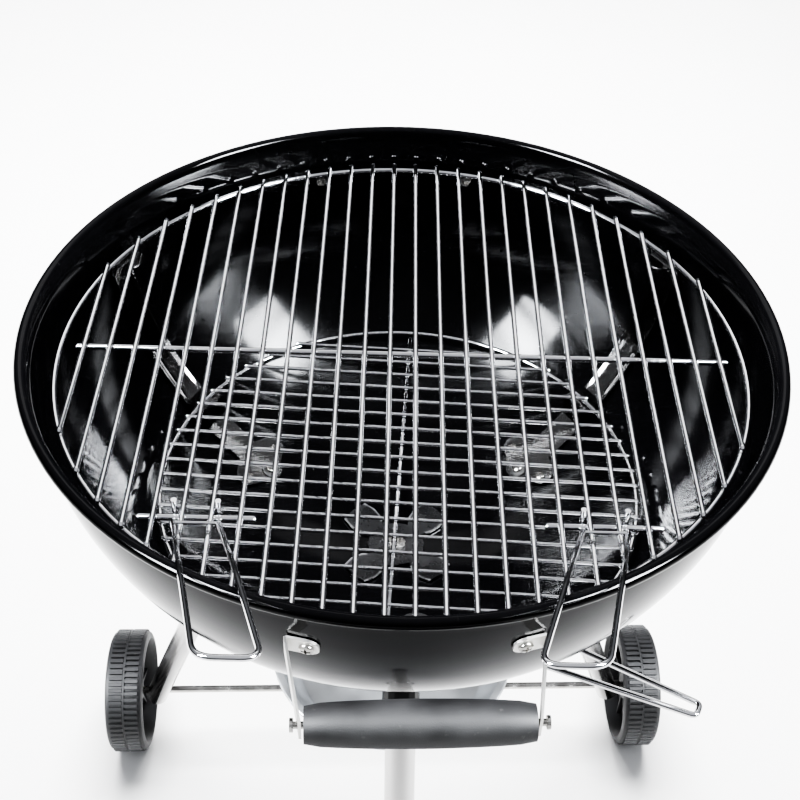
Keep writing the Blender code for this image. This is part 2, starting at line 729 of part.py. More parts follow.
def make_handle(place, side):
    """Two bent straps screwed to the bowl, with a grip between them; side is -1 at the front."""
    radius = bowl_radius(HANDLE_Z, 0)
    for number, (point, normal) in enumerate(handle_screw_places(side)):
        sign = 1 if (number == 1) == (side == -1) else -1
        label = "right" if sign > 0 else "left"
        make_handle_strap(f"handle_strap_{place}_{label}", point, normal, sign, side)
        turn = normal.to_track_quat("Z", "Y").to_matrix().to_4x4()
        seat = HANDLE_STRAP_T + 3 * GAP
        screw = [(0.0, -SCREW_LENGTH), (BOLT_R, -SCREW_LENGTH), (BOLT_R, 0.0), (SCREW_HEAD_R, 0.0)]
        screw += [(0.0047, 0.0014), (0.0030, 0.0026), (0.0, SCREW_HEAD_T)]
        bolt = revolved(f"handle_screw_{place}_{label}", screw, 12, zinc())
        bolt.matrix_world = Matrix.Translation(point + normal * seat) @ turn
        bore = BOLT_R + 0.0007
        ring = [(bore, 0.0), (SCREW_HEAD_R, 0.0), (SCREW_HEAD_R, SCREW_HEAD_T), (bore, SCREW_HEAD_T)]
        nut = revolved(f"handle_nut_{place}_{label}", ring, 6, zinc())
        inside = Matrix.Translation(point - normal * (WALL + LINING_GAP))
        nut.matrix_world = inside @ (-normal).to_track_quat("Z", "Y").to_matrix().to_4x4()
    make_grip(place, side, radius)


def handle_frame(point, normal, sign, side):
    """Local axes of a strap: x away from the middle, y up the bowl's face, z outwards."""
    theta = math.atan2(point.y, point.x)
    away = Vector((-math.sin(theta), math.cos(theta), 0)) * (1 if sign * side < 0 else -1)
    up = normal.cross(away) * (1 if sign * side > 0 else -1)
    if up.z < 0:
        up = -up
    return away, up


def make_handle_strap(name, point, normal, sign, side):
    away, up = handle_frame(point, normal, sign, side)
    outward = Vector((0, side, 0))
    inward = Vector((-sign, 0, 0))
    low, high = 2 * GAP, 2 * GAP + HANDLE_STRAP_T
    run = (outward + inward * 0.17).normalized()
    rows = []
    for k in range(1, 5):
        swing = math.pi / 2 * k / 4
        along = -HANDLE_END * math.cos(swing)
        rows.append((along, HANDLE_STRAP_HALF * math.sin(swing)))
    rows.append((HANDLE_BEND - 0.002, HANDLE_STRAP_HALF))
    front, back = [], []
    for along, half in rows:
        at = point + away * along
        front.append([at + normal * high + up * half * t for t in (-1, 1)])
        back.append([at + normal * low + up * half * t for t in (-1, 1)])
    corner = point + away * HANDLE_BEND + normal * low
    thick = away * HANDLE_STRAP_T
    reach = GRIP_OUT + GRIP_R * 0.6
    for distance in (0.003, reach):
        at = corner + run * distance
        front.append([at - thick / 2 + Vector((0, 0, HANDLE_STRAP_HALF * t)) for t in (-1, 1)])
        back.append([at + thick / 2 + Vector((0, 0, HANDLE_STRAP_HALF * t)) for t in (-1, 1)])
    bm = bmesh.new()
    add_sheet(bm, front, back)
    strap = finish(name, bm, steel())
    cuts = bmesh.new()
    add_cylinder(cuts, point - normal * 0.006, point + normal * 0.008, BOLT_R + HOLE_GAP, 10)
    y = side * (bowl_radius(HANDLE_Z, 0) + GRIP_OUT - GRIP_MID)
    add_cylinder(cuts, (sign * 0.04, y, HANDLE_Z), (sign * 0.11, y, HANDLE_Z), BOLT_R + HOLE_GAP, 10)
    boolean(strap, finish(name + "_cuts", cuts, steel()), "DIFFERENCE")


def make_grip(place, side, radius):
    y = side * (radius + GRIP_OUT - GRIP_MID)
    half, bore = GRIP_HALF, BOLT_R + GAP
    outline = [(bore, -half), (GRIP_R * 0.72, -half), (GRIP_R * 0.86, -half + 0.004)]
    outline.append((GRIP_R, -half * 0.45))
    profile = outline + [(r, -x) for r, x in reversed(outline)]
    grip = revolved("grip_" + place, profile, 16, plastic())
    grip.location = (0, y, HANDLE_Z)
    grip.rotation_euler = (0, math.pi / 2, 0)
    end = half + 0.0085
    rod = [(0.0, -end), (0.0042, -end), (0.0042, -end + 0.0022), (BOLT_R, -end + 0.0022)]
    profile = rod + [(r, -x) for r, x in reversed(rod)]
    bolt = revolved("grip_rod_" + place, profile, 12, zinc())
    bolt.location = (0, y, HANDLE_Z)
    bolt.rotation_euler = (0, math.pi / 2, 0)


def make_ash_dish():
    z, base, t = DISH_Z, DISH_Z - DISH_DEPTH, DISH_T
    profile = [(0.0, base), (DISH_BASE_R, base), (DISH_BASE_R + 0.004, base + 0.002)]
    profile += [(DISH_R - 0.007, z - 0.004), (DISH_R, z - 0.003), (DISH_R, z), (DISH_R - 0.007, z)]
    profile += [(DISH_R - 0.009, z - 0.003), (DISH_BASE_R + 0.001, base + t + 0.001)]
    profile.append((DISH_BASE_R - 0.002, base + t))
    profile.append((0.0, base + t))
    revolved("ash_dish", profile, 32, aluminium())
    make_dish_holder()


def make_dish_holder():
    """A wire ring under the dish's flare, hung from an eye round each leg."""
    flare = (HOLDER_RING_R - DISH_BASE_R - 0.004) / (DISH_R - 0.011 - DISH_BASE_R)
    ring_z = DISH_Z - DISH_DEPTH + 0.002 + flare * (DISH_DEPTH - 0.006) - 0.0048
    loops, arms = [(circle(HOLDER_RING_R, ring_z, 24), True)], []
    for angle in LEG_ANGLES.values():
        top, down = leg_line(angle)
        at = top + down * ((top.z - ring_z - 0.010) / -down.z)
        turn = down.to_track_quat("Z", "Y").to_matrix()
        eye = [at + turn @ p for p in circle(LEG_R + 0.0012 + HOLDER_WIRE_R, 0, 10)]
        loops.append((eye, True))
        radial = Vector((math.cos(angle), math.sin(angle), 0))
        start = radial * (HOLDER_RING_R - 0.001) + Vector((0, 0, ring_z - HOLDER_WIRE_R * 2 + WELD))
        near = min(eye, key=lambda p: p.to_2d().length)
        arms.append([start, near + radial * 0.001 + Vector((0, 0, -0.0006))])
    holder = wires("dish_holder", loops, HOLDER_WIRE_R, chrome())
    boolean(holder, wires("holder_arms", arms, HOLDER_WIRE_R, chrome()), "UNION")


def main():
    clear_scene()
    make_bowl()
    for place, angle in LEG_ANGLES.items():
        make_strap(place, angle)
        make_socket(place, angle)
        make_bolts(place, angle)
        make_leg(place, angle)
    make_wheels()
    make_vent()
    make_cooking_grate()
    make_bail("left", -1)
    make_bail("right", 1)
    make_charcoal_grate()
    make_handle("front", -1)
    make_handle("rear", 1)
    make_ash_dish()


main()
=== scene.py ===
"""Kettle charcoal grill: enamel, plated wire, pressed steel and moulded plastic over the frame."""

import math

import bmesh
import bpy
from mathutils import Matrix, Vector


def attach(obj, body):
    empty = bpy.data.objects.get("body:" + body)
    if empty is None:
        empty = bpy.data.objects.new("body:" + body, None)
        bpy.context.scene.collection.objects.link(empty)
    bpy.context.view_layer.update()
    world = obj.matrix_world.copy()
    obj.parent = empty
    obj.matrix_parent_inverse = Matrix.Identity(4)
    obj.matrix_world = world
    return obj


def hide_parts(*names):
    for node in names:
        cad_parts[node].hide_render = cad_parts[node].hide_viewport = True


bl_info = {
    "name": "Kettle Grill Finish",
    "version": (1, 0, 0),
    "blender": (4, 5, 0),
    "location": "View3D > Sidebar > Grill",
    "description": "Builds the visible pieces and finishes of a kettle charcoal grill",
    "category": "Object",
}

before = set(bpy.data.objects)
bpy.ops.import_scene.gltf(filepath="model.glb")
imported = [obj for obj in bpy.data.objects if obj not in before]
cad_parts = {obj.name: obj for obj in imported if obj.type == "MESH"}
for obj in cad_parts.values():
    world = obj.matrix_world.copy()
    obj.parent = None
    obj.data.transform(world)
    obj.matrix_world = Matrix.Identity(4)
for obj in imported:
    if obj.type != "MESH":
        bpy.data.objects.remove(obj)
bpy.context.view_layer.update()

# Bowl: a half ellipse under a rolled rim
RIM_Z = 0.738
RIM_R = 0.2805
BEAD_R = 0.0045
BOWL_R = 0.276
BOWL_DEPTH = 0.246
BOWL_TOP_Z = RIM_Z - 0.004
WALL = 0.002
BOWL_STEPS = 144
BOWL_RINGS = 56
SPINDLE_HOLE_R = 0.0045
VENT_HOLE = (0.036, 0.0135, 0.010)
PETALS = 4

# Sweeper blade: an ellipse along the diagonal, where a painted highlight round its edge starts outside
# the hub
PETAL_MIDDLE = 0.0405
PETAL_HALF_LENGTH = 0.0205
PETAL_HALF_WIDTH = 0.0150
PETAL_HUB_R = 0.027

# Straps, bolts, sockets and legs
LEG_ANGLES = {"right": math.radians(30), "left": math.radians(150), "front": math.radians(270)}
LINING = WALL + 0.0014
STRAP_T = 0.0015
STRAP_HALF = 0.012
FLANGE = 0.0012
TAB_R = 0.2460
LEDGE_R = 0.1830
PLATE_OUTLINE = (
    (0.166, 0.0120),
    (0.152, 0.0120),
    (0.1465, 0.0255),
    (0.1425, 0.0298),
    (0.1375, 0.0305),
    (0.1325, 0.0285),
    (0.1295, 0.0225),
    (0.1255, 0.0120),
    (0.1215, 0.0085),
    (0.1195, 0.0045),
)
BOLT_R = 0.0022
BOLT_HEAD_R = 0.0046
BOLT_HEAD_T = 0.0028
BOLT_PAST_WALL = 0.0045
SEAT_GAP = 0.0003
BOLT_PLACES = ((0.1300, 0.0), (0.1385, 0.0215), (0.1385, -0.0215))
WASHER_R = 0.0080
WASHER_T = 0.0012
WASHER_LIP = 0.0003
WASHER_LIFT = 0.0015
LEG_TOP_R = 0.133
LEG_FOOT_R = 0.3033
LEG_R = 0.0125
LEG_WALL = 0.0015
LEG_START = 0.0173
LEG_LIP = 0.0005

# Grates and their folding handles
GRATE_Z = RIM_Z - 0.030
GRATE_R = 0.2615
GRATE_TURN = math.radians(-2.3)
GRATE_SHIFT_Y = 0.002
GRATE_BARS = 26
GRATE_PITCH = 0.0194
GRATE_WIRE_R = 0.0020
CROSSBAR_HALF = 0.250
BAR_PAST_RING = 0.003
GRATE_RING_R = 0.0025
WELD = 0.0008
WELD_SWELL = ((0.0026, 0.0), (0.001, 0.16), (-0.001, 0.16), (-0.0026, 0.0))
BAR_END = ((0.0, 0.6), (0.25, 0.88), (0.7, 1.0))
COAL_Z = RIM_Z - 0.1585
COAL_R = 0.1955
COAL_TURN = math.radians(-5.0)
COAL_SHIFT_Y = -0.009
COAL_BARS = 20
COAL_PITCH = 0.0176
COAL_WIRE_R = 0.0017
COAL_RING_R = 0.0022
BAIL_X = 0.1365
BAIL_Y = -0.1745
BAIL_ROD_HALF = 0.040
BAIL_HALF = 0.0147
BAIL_TIP_HALF = 0.0188
BAIL_LEAN = 0.268
BAIL_REACH = 0.163
BAIL_CROSS = 0.012
BAIL_BEND = 0.008
BAIL_TIP_RISE = 0.0665
BAIL_CORNER_R = 0.012
BAIL_PIN_R = 0.0014

# Handles, wheels, vent lever and dish
HANDLE_ANGLE = math.radians(14.3)
HANDLE_Z = RIM_Z - 0.040
HANDLE_SEAT = 0.0027
HANDLE_SCREW = (0.0050, 0.0030, 0.0075)
GRIP_OUT = 0.050
GRIP_R = 0.0145
GRIP_HALF = 0.0685
WHEEL_R = 0.070
WHEEL_WIDTH = 0.042
WHEEL_INNER_X = 0.2729
HUB_R = 0.017
HUB_RECESS = 0.0105
AXLE_R = 0.0044
AXLE_CUT_HALF = 0.4
SPOKES = 9
LUG_TAPER = 0.72
LEVER_ANGLE = math.radians(-27.5)
LEVER_Z = RIM_Z - 0.309
LEVER_REACH = 0.285
LEVER_HALF = 0.026
LEVER_TAPER = math.radians(3.9)
LEVER_WIRE_R = 0.0028
LEVER_DROP = 0.0085
LEVER_BEND_R = 0.005
DISH_Z = RIM_Z - 0.390
DISH_R = 0.1135
DISH_BASE_R = 0.088
DISH_DEPTH = 0.026
DISH_T = 0.0015
HOLDER_RING_R = 0.0960
HOLDER_WIRE_R = 0.0020

# Grain directions, and the colour that wear brings out on steel
EVEN = (1, 1, 1)
BRUSHED = (8, 8, 0.6)
WORN_STEEL = (0.62, 0.62, 0.62)

# Camera place across and below the line to the rim's centre, and its film
CAMERA_ASIDE = -0.0007
CAMERA_BELOW = -0.0629
CAMERA_SHIFT_Y = 0.0119
SENSOR_WIDTH = 36.0

# Sky: strength at two heights, the strength that the camera sees, and colour
SKY_GLOW = (0.03, 0.55)
SKY_HEIGHTS = (0.15, 0.95)
SKY_SEEN = 2.2
SKY_TINT = (0.93, 0.95, 1.0)


class GrillFinish(bpy.types.PropertyGroup):
    enamel: bpy.props.FloatVectorProperty(
        name="Enamel", description="Bowl colour", subtype="COLOR", default=(0.0025, 0.0025, 0.003)
    )
    plating: bpy.props.FloatVectorProperty(
        name="Plating", description="Wire plating colour", subtype="COLOR", default=(0.92, 0.92, 0.93)
    )
    steel: bpy.props.FloatVectorProperty(
        name="Steel", description="Strap and leg colour", subtype="COLOR", default=(0.34, 0.335, 0.33)
    )
    plastic: bpy.props.FloatVectorProperty(
        name="Plastic",
        description="Wheel and grip colour",
        subtype="COLOR",
        default=(0.012, 0.012, 0.013),
    )
    lugs: bpy.props.IntProperty(name="Tread lugs", description="Lugs in each row", default=64, min=12)


class GrillStage(bpy.types.PropertyGroup):
    floor: bpy.props.FloatVectorProperty(
        name="Floor", description="Floor colour", subtype="COLOR", default=(0.93, 0.93, 0.93)
    )
    lens: bpy.props.FloatProperty(name="Lens", description="Focal length", default=58.87, unit="CAMERA")
    distance: bpy.props.FloatProperty(
        name="Distance", description="From the rim's centre", default=0.9807, unit="LENGTH"
    )
    elevation: bpy.props.FloatProperty(
        name="Elevation", description="Downward look", default=0.7409, subtype="ANGLE"
    )
    roll: bpy.props.FloatProperty(
        name="Roll", description="Camera roll", default=0.0357, subtype="ANGLE"
    )
    yaw: bpy.props.FloatProperty(
        name="Turn", description="Turn of the grill", default=0.0554, subtype="ANGLE"
    )


class Shading:
    """Adds and joins shader nodes in one tree."""

    def __init__(self, tree):
        self.tree = tree

    def add(self, kind, values=None, **settings):
        made = self.tree.nodes.new(kind)
        for key, value in settings.items():
            setattr(made, key, value)
        for key, value in (values or {}).items():
            if isinstance(value, bpy.types.NodeSocket):
                self.tree.links.new(value, made.inputs[key])
            else:
                made.inputs[key].default_value = value
        return made

    def remap(self, value, low, high, start=0.3, end=0.7):
        made = self.add("ShaderNodeMapRange", {"Value": value, "From Min": start, "From Max": end})
        for key, bound in (("To Min", low), ("To Max", high)):
            if isinstance(bound, bpy.types.NodeSocket):
                self.tree.links.new(bound, made.inputs[key])
            else:
                made.inputs[key].default_value = bound
        return made.outputs["Result"]

    def mix(self, factor, first, second):
        made = self.add("ShaderNodeMix", data_type="RGBA")
        for index, value in ((0, factor), (6, first), (7, second)):
            socket = made.inputs[index]
            if isinstance(value, bpy.types.NodeSocket):
                self.tree.links.new(value, socket)
            else:
                socket.default_value = value
        return made.outputs[2]


def new_group(name, inputs, outputs):
    """An empty effect group and its input and output nodes."""
    tree = bpy.data.node_groups.new(name, "ShaderNodeTree")
    for label, kind, default in inputs:
        socket = tree.interface.new_socket(name=label, in_out="INPUT", socket_type=kind)
        socket.default_value = default
    for label, kind in outputs:
        tree.interface.new_socket(name=label, in_out="OUTPUT", socket_type=kind)
    return tree, tree.nodes.new("NodeGroupInput"), tree.nodes.new("NodeGroupOutput")


def finish_variation():
    """Slow change of gloss, fine grain height and a dust mask over a surface."""
    found = bpy.data.node_groups.get("finish_variation")
    if found:
        return found
    inputs = (
        ("Scale", "NodeSocketFloat", 12.0),
        ("Grain", "NodeSocketFloat", 400.0),
        ("Stretch", "NodeSocketVector", (1.0, 1.0, 1.0)),
        ("Low", "NodeSocketFloat", 0.1),
        ("High", "NodeSocketFloat", 0.2),
    )
    outputs = (("Gloss", "NodeSocketFloat"), ("Height", "NodeSocketFloat"), ("Dust", "NodeSocketFloat"))
    tree, given, out = new_group("finish_variation", inputs, outputs)
    shade = Shading(tree)
    place = shade.add("ShaderNodeTexCoord").outputs["Object"]
    slow = shade.add(
        "ShaderNodeTexNoise", {"Vector": place, "Scale": given.outputs["Scale"], "Detail": 5.0}
    )
    gloss = shade.remap(slow.outputs["Fac"], given.outputs["Low"], given.outputs["High"])
    stretched = shade.add(
        "ShaderNodeVectorMath", {0: place, 1: given.outputs["Stretch"]}, operation="MULTIPLY"
    )
    fine = shade.add(
        "ShaderNodeTexNoise",
        {"Vector": stretched.outputs[0], "Scale": given.outputs["Grain"], "Detail": 3.0},
    )
    specks = shade.add("ShaderNodeTexNoise", {"Vector": place, "Scale": 160.0, "Detail": 6.0})
    tree.links.new(gloss, out.inputs["Gloss"])
    tree.links.new(fine.outputs["Fac"], out.inputs["Height"])
    tree.links.new(shade.remap(specks.outputs["Fac"], 0.0, 1.0, 0.66, 0.76), out.inputs["Dust"])
    return tree


def edge_wear():
    """A mask that is bright along outer edges and broken up by noise."""
    found = bpy.data.node_groups.get("edge_wear")
    if found:
        return found
    tree, given, out = new_group(
        "edge_wear", (("Start", "NodeSocketFloat", 0.53),), (("Mask", "NodeSocketFloat"),)
    )
    shade = Shading(tree)
    edge = shade.add("ShaderNodeNewGeometry").outputs["Pointiness"]
    stop = shade.add("ShaderNodeMath", {0: given.outputs["Start"], 1: 0.06}, operation="ADD")
    made = shade.add("ShaderNodeMapRange", {"Value": edge, "From Min": given.outputs["Start"]})
    tree.links.new(stop.outputs[0], made.inputs["From Max"])
    place = shade.add("ShaderNodeTexCoord").outputs["Object"]
    noise = shade.add("ShaderNodeTexNoise", {"Vector": place, "Scale": 220.0, "Detail": 4.0})
    broken = shade.remap(noise.outputs["Fac"], 0.3, 1.0, 0.35, 0.6)
    mask = shade.add("ShaderNodeMath", {0: made.outputs["Result"], 1: broken}, operation="MULTIPLY")
    tree.links.new(mask.outputs[0], out.inputs["Mask"])
    return tree


def painted_petal_highlight():
    """A painted highlight: a mask that is bright round the outline of each sweeper blade, outside the
    hub.
    """
    found = bpy.data.node_groups.get("painted_petal_highlight")
    if found:
        return found
    tree, given, out = new_group(
        "painted_petal_highlight", (("Width", "NodeSocketFloat", 0.16),), (("Mask", "NodeSocketFloat"),)
    )
    shade = Shading(tree)

    def maths(operation, first, second=0.0):
        return shade.add("ShaderNodeMath", {0: first, 1: second}, operation=operation).outputs[0]

    place = shade.add("ShaderNodeTexCoord").outputs["Object"]
    parts = shade.add("ShaderNodeSeparateXYZ", {0: place})
    across = maths("ABSOLUTE", parts.outputs["X"])
    ahead = maths("ABSOLUTE", parts.outputs["Y"])
    half = math.sqrt(0.5)
    along = maths("MULTIPLY", maths("ADD", across, ahead), half)
    side = maths("MULTIPLY", maths("SUBTRACT", across, ahead), half)
    from_middle = maths("ABSOLUTE", maths("SUBTRACT", along, PETAL_MIDDLE))
    first = maths("POWER", maths("DIVIDE", from_middle, PETAL_HALF_LENGTH), 2.0)
    second = maths("POWER", maths("DIVIDE", maths("ABSOLUTE", side), PETAL_HALF_WIDTH), 2.0)
    inside = maths("SUBTRACT", 1.0, maths("SQRT", maths("ADD", first, second)))
    made = shade.add("ShaderNodeMapRange", {"Value": inside, "From Max": given.outputs["Width"]})
    made.inputs["To Min"].default_value = 1.0
    made.inputs["To Max"].default_value = 0.0
    outer = maths("GREATER_THAN", along, PETAL_HUB_R)
    tree.links.new(maths("MULTIPLY", made.outputs["Result"], outer), out.inputs["Mask"])
    return tree


def finish(name, colours, gloss, metallic, scale=12.0, grain=(400.0, EVEN, 0.02), dust=0.0, wear_and_highlight=None):
    """A surface whose colour, gloss and fine relief change over it.

    grain is (scale, stretch, strength), and the last argument is (mask group, colour): edge wear on
    steel, and a painted highlight round the sweeper blades.
    """
    found = bpy.data.materials.get(name)
    if found:
        return found
    mat = bpy.data.materials.new(name)
    mat.use_nodes = True
    shade = Shading(mat.node_tree)
    shader = mat.node_tree.nodes["Principled BSDF"]
    shader.inputs["Metallic"].default_value = metallic
    effect = shade.add("ShaderNodeGroup", node_tree=finish_variation())
    effect.inputs["Scale"].default_value = scale
    effect.inputs["Grain"].default_value = grain[0]
    effect.inputs["Stretch"].default_value = grain[1]
    effect.inputs["Low"].default_value = gloss[0]
    effect.inputs["High"].default_value = gloss[1]
    drift = shade.remap(effect.outputs["Gloss"], 0.0, 1.0, gloss[0], gloss[1])
    colour = shade.mix(drift, (*colours[0], 1.0), (*colours[1], 1.0))
    if dust:
        amount = shade.add("ShaderNodeMath", {0: effect.outputs["Dust"], 1: dust}, operation="MULTIPLY")
        colour = shade.mix(amount.outputs[0], colour, (0.30, 0.29, 0.28, 1.0))
    # Edge wear on steel; on the sweeper blades this mix is a painted highlight round the outline.
    if wear_and_highlight:
        mask = shade.add("ShaderNodeGroup", node_tree=wear_and_highlight[0]())
        colour = shade.mix(mask.outputs["Mask"], colour, (*wear_and_highlight[1], 1.0))
    mat.node_tree.links.new(colour, shader.inputs["Base Color"])
    mat.node_tree.links.new(effect.outputs["Gloss"], shader.inputs["Roughness"])
    bump = shade.add(
        "ShaderNodeBump", {"Height": effect.outputs["Height"], "Strength": grain[2], "Distance": 0.0005}
    )
    mat.node_tree.links.new(bump.outputs["Normal"], shader.inputs["Normal"])
    return mat


def shaded(colour, factor):
    return tuple(c * factor for c in colour)


def enamel():
    base = bpy.context.scene.grill_finish.enamel
    mat = finish(
        "gloss_enamel", (shaded(base, 0.8), shaded(base, 1.5)), (0.07, 0.12), 0.0,
        scale=9.0, grain=(900.0, EVEN, 0.012), dust=0.02,
    )
    mat.node_tree.nodes["Principled BSDF"].inputs["IOR"].default_value = 1.25
    return mat


def plated_wire():
    base = bpy.context.scene.grill_finish.plating
    return finish(
        "plated_wire", (shaded(base, 0.88), base), (0.05, 0.13), 1.0,
        scale=55.0, grain=(500.0, EVEN, 0.03),
    )


def satin_steel():
    base = bpy.context.scene.grill_finish.steel
    return finish(
        "satin_steel", (shaded(base, 0.84), base), (0.07, 0.17), 1.0,
        scale=30.0, grain=(300.0, BRUSHED, 0.04), wear_and_highlight=(edge_wear, WORN_STEEL),
    )


def mirror_steel_painted_shade():
    # A darker copy of the strap steel: painted shade for the dark bowl and surroundings that the straps
    # inside the bowl reflect.
    base = bpy.context.scene.grill_finish.steel
    return finish(
        "mirror_steel_painted_shade", (shaded(base, 0.50), shaded(base, 0.85)), (0.05, 0.12), 1.0,
        scale=30.0, grain=(300.0, BRUSHED, 0.04), wear_and_highlight=(edge_wear, WORN_STEEL),
    )


def leg_steel():
    base = bpy.context.scene.grill_finish.steel
    return finish(
        "leg_steel", (shaded(base, 1.4), shaded(base, 1.6)), (0.17, 0.27), 1.0,
        scale=22.0, grain=(260.0, (9, 9, 0.4), 0.04),
    )


def zinc():
    return finish(
        "zinc_screw", ((0.36, 0.35, 0.33), (0.54, 0.53, 0.51)), (0.16, 0.30), 1.0,
        scale=90.0, grain=(700.0, EVEN, 0.06),
    )


def blade_steel():
    # The near-white outline round each blade is a painted highlight of its pressed rim.
    return finish(
        "sweeper_steel", ((0.07, 0.07, 0.073), (0.15, 0.15, 0.153)), (0.22, 0.36), 1.0,
        scale=40.0, grain=(350.0, EVEN, 0.10), dust=0.05, wear_and_highlight=(painted_petal_highlight, (0.90, 0.90, 0.91)),
    )


def washer_steel():
    return finish(
        "dark_washer", ((0.07, 0.07, 0.07), (0.13, 0.13, 0.13)), (0.3, 0.45), 1.0,
        scale=80.0, grain=(600.0, EVEN, 0.1),
    )


def aluminium():
    return finish(
        "matt_aluminium", ((0.47, 0.48, 0.49), (0.60, 0.61, 0.62)), (0.32, 0.46), 1.0,
        scale=26.0, grain=(240.0, (1, 1, 5), 0.08),
    )


def moulded():
    base = bpy.context.scene.grill_finish.plastic
    return finish(
        "moulded_plastic", (shaded(base, 0.7), shaded(base, 1.4)), (0.48, 0.66), 0.0,
        scale=35.0, grain=(1100.0, EVEN, 0.25), dust=0.12,
    )


def show(obj, mat, body, node):
    """Places a finished piece on its body as the visible form of a frame node."""
    obj.data.materials.clear()
    obj.data.materials.append(mat)
    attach(obj, body)
    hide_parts(node)
    return obj


def to_object(name, bm, angle=35):
    bmesh.ops.remove_doubles(bm, verts=bm.verts, dist=1e-6)
    bmesh.ops.recalc_face_normals(bm, faces=bm.faces)
    mesh = bpy.data.meshes.new(name)
    bm.to_mesh(mesh)
    bm.free()
    mesh.shade_smooth()
    mesh.set_sharp_from_angle(angle=math.radians(angle))
    obj = bpy.data.objects.new(name, mesh)
    bpy.context.scene.collection.objects.link(obj)
    return obj


def place(obj, matrix):
    obj.data.transform(matrix)
    return obj


def cut(obj, bm):
    """Takes a closed form out of the piece and keeps the result as its mesh."""
    cutter = to_object(obj.name + "_cutter", bm)
    mod = obj.modifiers.new("cut", "BOOLEAN")
    mod.operation = "DIFFERENCE"
    mod.object = cutter
    mesh = bpy.data.meshes.new_from_object(obj.evaluated_get(bpy.context.evaluated_depsgraph_get()))
    if not mesh.polygons:
        raise RuntimeError(f"nothing is left of {obj.name} after its cut")
    obj.modifiers.clear()
    obj.data = mesh
    mesh.set_sharp_from_angle(angle=math.radians(35))
    bpy.data.objects.remove(cutter, do_unlink=True)
    return obj


def lathe_into(bm, profile, steps):
    verts = [bm.verts.new((r, 0.0, z)) for r, z in profile]
    edges = [bm.edges.new(pair) for pair in zip(verts, verts[1:] + verts[:1])]
    bmesh.ops.spin(
        bm, geom=verts + edges, cent=(0, 0, 0), axis=(0, 0, 1),
        angle=math.tau, steps=steps, use_merge=True,
    )


def lathe(name, profile, steps):
    bm = bmesh.new()
    lathe_into(bm, profile, steps)
    return to_object(name, bm)


def arc(centre, radius, start, stop, steps):
    """Points on a round stretch of an outline, angles in degrees."""
    angles = [math.radians(start + (stop - start) * k / steps) for k in range(steps + 1)]
    return [(centre[0] + radius * math.cos(a), centre[1] + radius * math.sin(a)) for a in angles]


def rod_into(bm, start, end, radius, sides=20):
    start, end = Vector(start), Vector(end)
    turn = (end - start).to_track_quat("Z", "Y").to_matrix().to_4x4()
    bmesh.ops.create_cone(
        bm, cap_ends=True, segments=sides, radius1=radius, radius2=radius,
        depth=(end - start).length, matrix=Matrix.Translation((start + end) / 2) @ turn,
    )


def wire(name, strands, sides=12):
    """Round wire along strands of (points, radius, closed); a point may carry its own thickness."""
    curve = bpy.data.curves.new(name, "CURVE")
    curve.dimensions = "3D"
    curve.bevel_depth = 1.0
    curve.bevel_resolution = sides // 2 - 2
    curve.use_fill_caps = True
    for points, radius, closed in strands:
        spline = curve.splines.new("POLY")
        spline.points.add(len(points) - 1)
        for slot, point in zip(spline.points, points):
            slot.co = (point[0], point[1], point[2], 1.0)
            slot.radius = radius * (point[3] if len(point) > 3 else 1.0)
        spline.use_cyclic_u = closed
    holder = bpy.data.objects.new(name + "_path", curve)
    mesh = bpy.data.meshes.new_from_object(holder)
    bpy.data.objects.remove(holder, do_unlink=True)
    bm = bmesh.new()
    bm.from_mesh(mesh)
    bpy.data.meshes.remove(mesh)
    return to_object(name, bm, 50)


def rounded(points, radius, steps=8):
    path = [Vector(points[0])]
    for before, corner, after in zip(points, points[1:], points[2:]):
        before, corner, after = Vector(before), Vector(corner), Vector(after)
        back, ahead = before - corner, after - corner
        reach = min(radius, 0.45 * back.length, 0.45 * ahead.length)
        start = corner + back.normalized() * reach
        end = corner + ahead.normalized() * reach
        for k in range(steps + 1):
            t = k / steps
            path.append(start * (1 - t) ** 2 + corner * 2 * t * (1 - t) + end * t * t)
    path.append(Vector(points[-1]))
    return path


def ring(radius, z, steps=128):
    angles = [math.tau * k / steps for k in range(steps)]
    return [(radius * math.cos(a), radius * math.sin(a), z) for a in angles]


def bar(axis, offset, half, z, radius, welds):
    """A straight bar with sheared round ends and a slight swelling at each weld."""
    stops = [(half - radius * cut_in, thick) for cut_in, thick in BAR_END]
    for weld in welds:
        stops += [(weld + offset_along, 1.0 + swell) for offset_along, swell in WELD_SWELL]
    stops = sorted({s: t for s, t in stops if s <= half}.items(), reverse=True)
    line = [(-s, t) for s, t in stops] + [(s, t) for s, t in reversed(stops)]
    if axis == "x":
        return [(s, offset, z, t) for s, t in line], radius, False
    return [(offset, s, z, t) for s, t in line], radius, False


def bowl_z(radius, offset):
    return BOWL_TOP_Z - (BOWL_DEPTH + offset) * math.sqrt(1 - (radius / (BOWL_R + offset)) ** 2)


def bowl_radius(z, offset):
    return (BOWL_R + offset) * math.sqrt(1 - ((BOWL_TOP_Z - z) / (BOWL_DEPTH + offset)) ** 2)


def bowl_normal(radius):
    depth = BOWL_TOP_Z - bowl_z(radius, 0)
    return Vector((radius / BOWL_R**2, -depth / BOWL_DEPTH**2)).normalized()


def leg_line(angle):
    radial = Vector((math.cos(angle), math.sin(angle), 0))
    top = radial * LEG_TOP_R + Vector((0, 0, bowl_z(LEG_TOP_R, 0)))
    foot = radial * LEG_FOOT_R + Vector((0, 0, WHEEL_R))
    return top, (foot - top).normalized()


def axle_y():
    return LEG_FOOT_R * math.sin(LEG_ANGLES["right"])


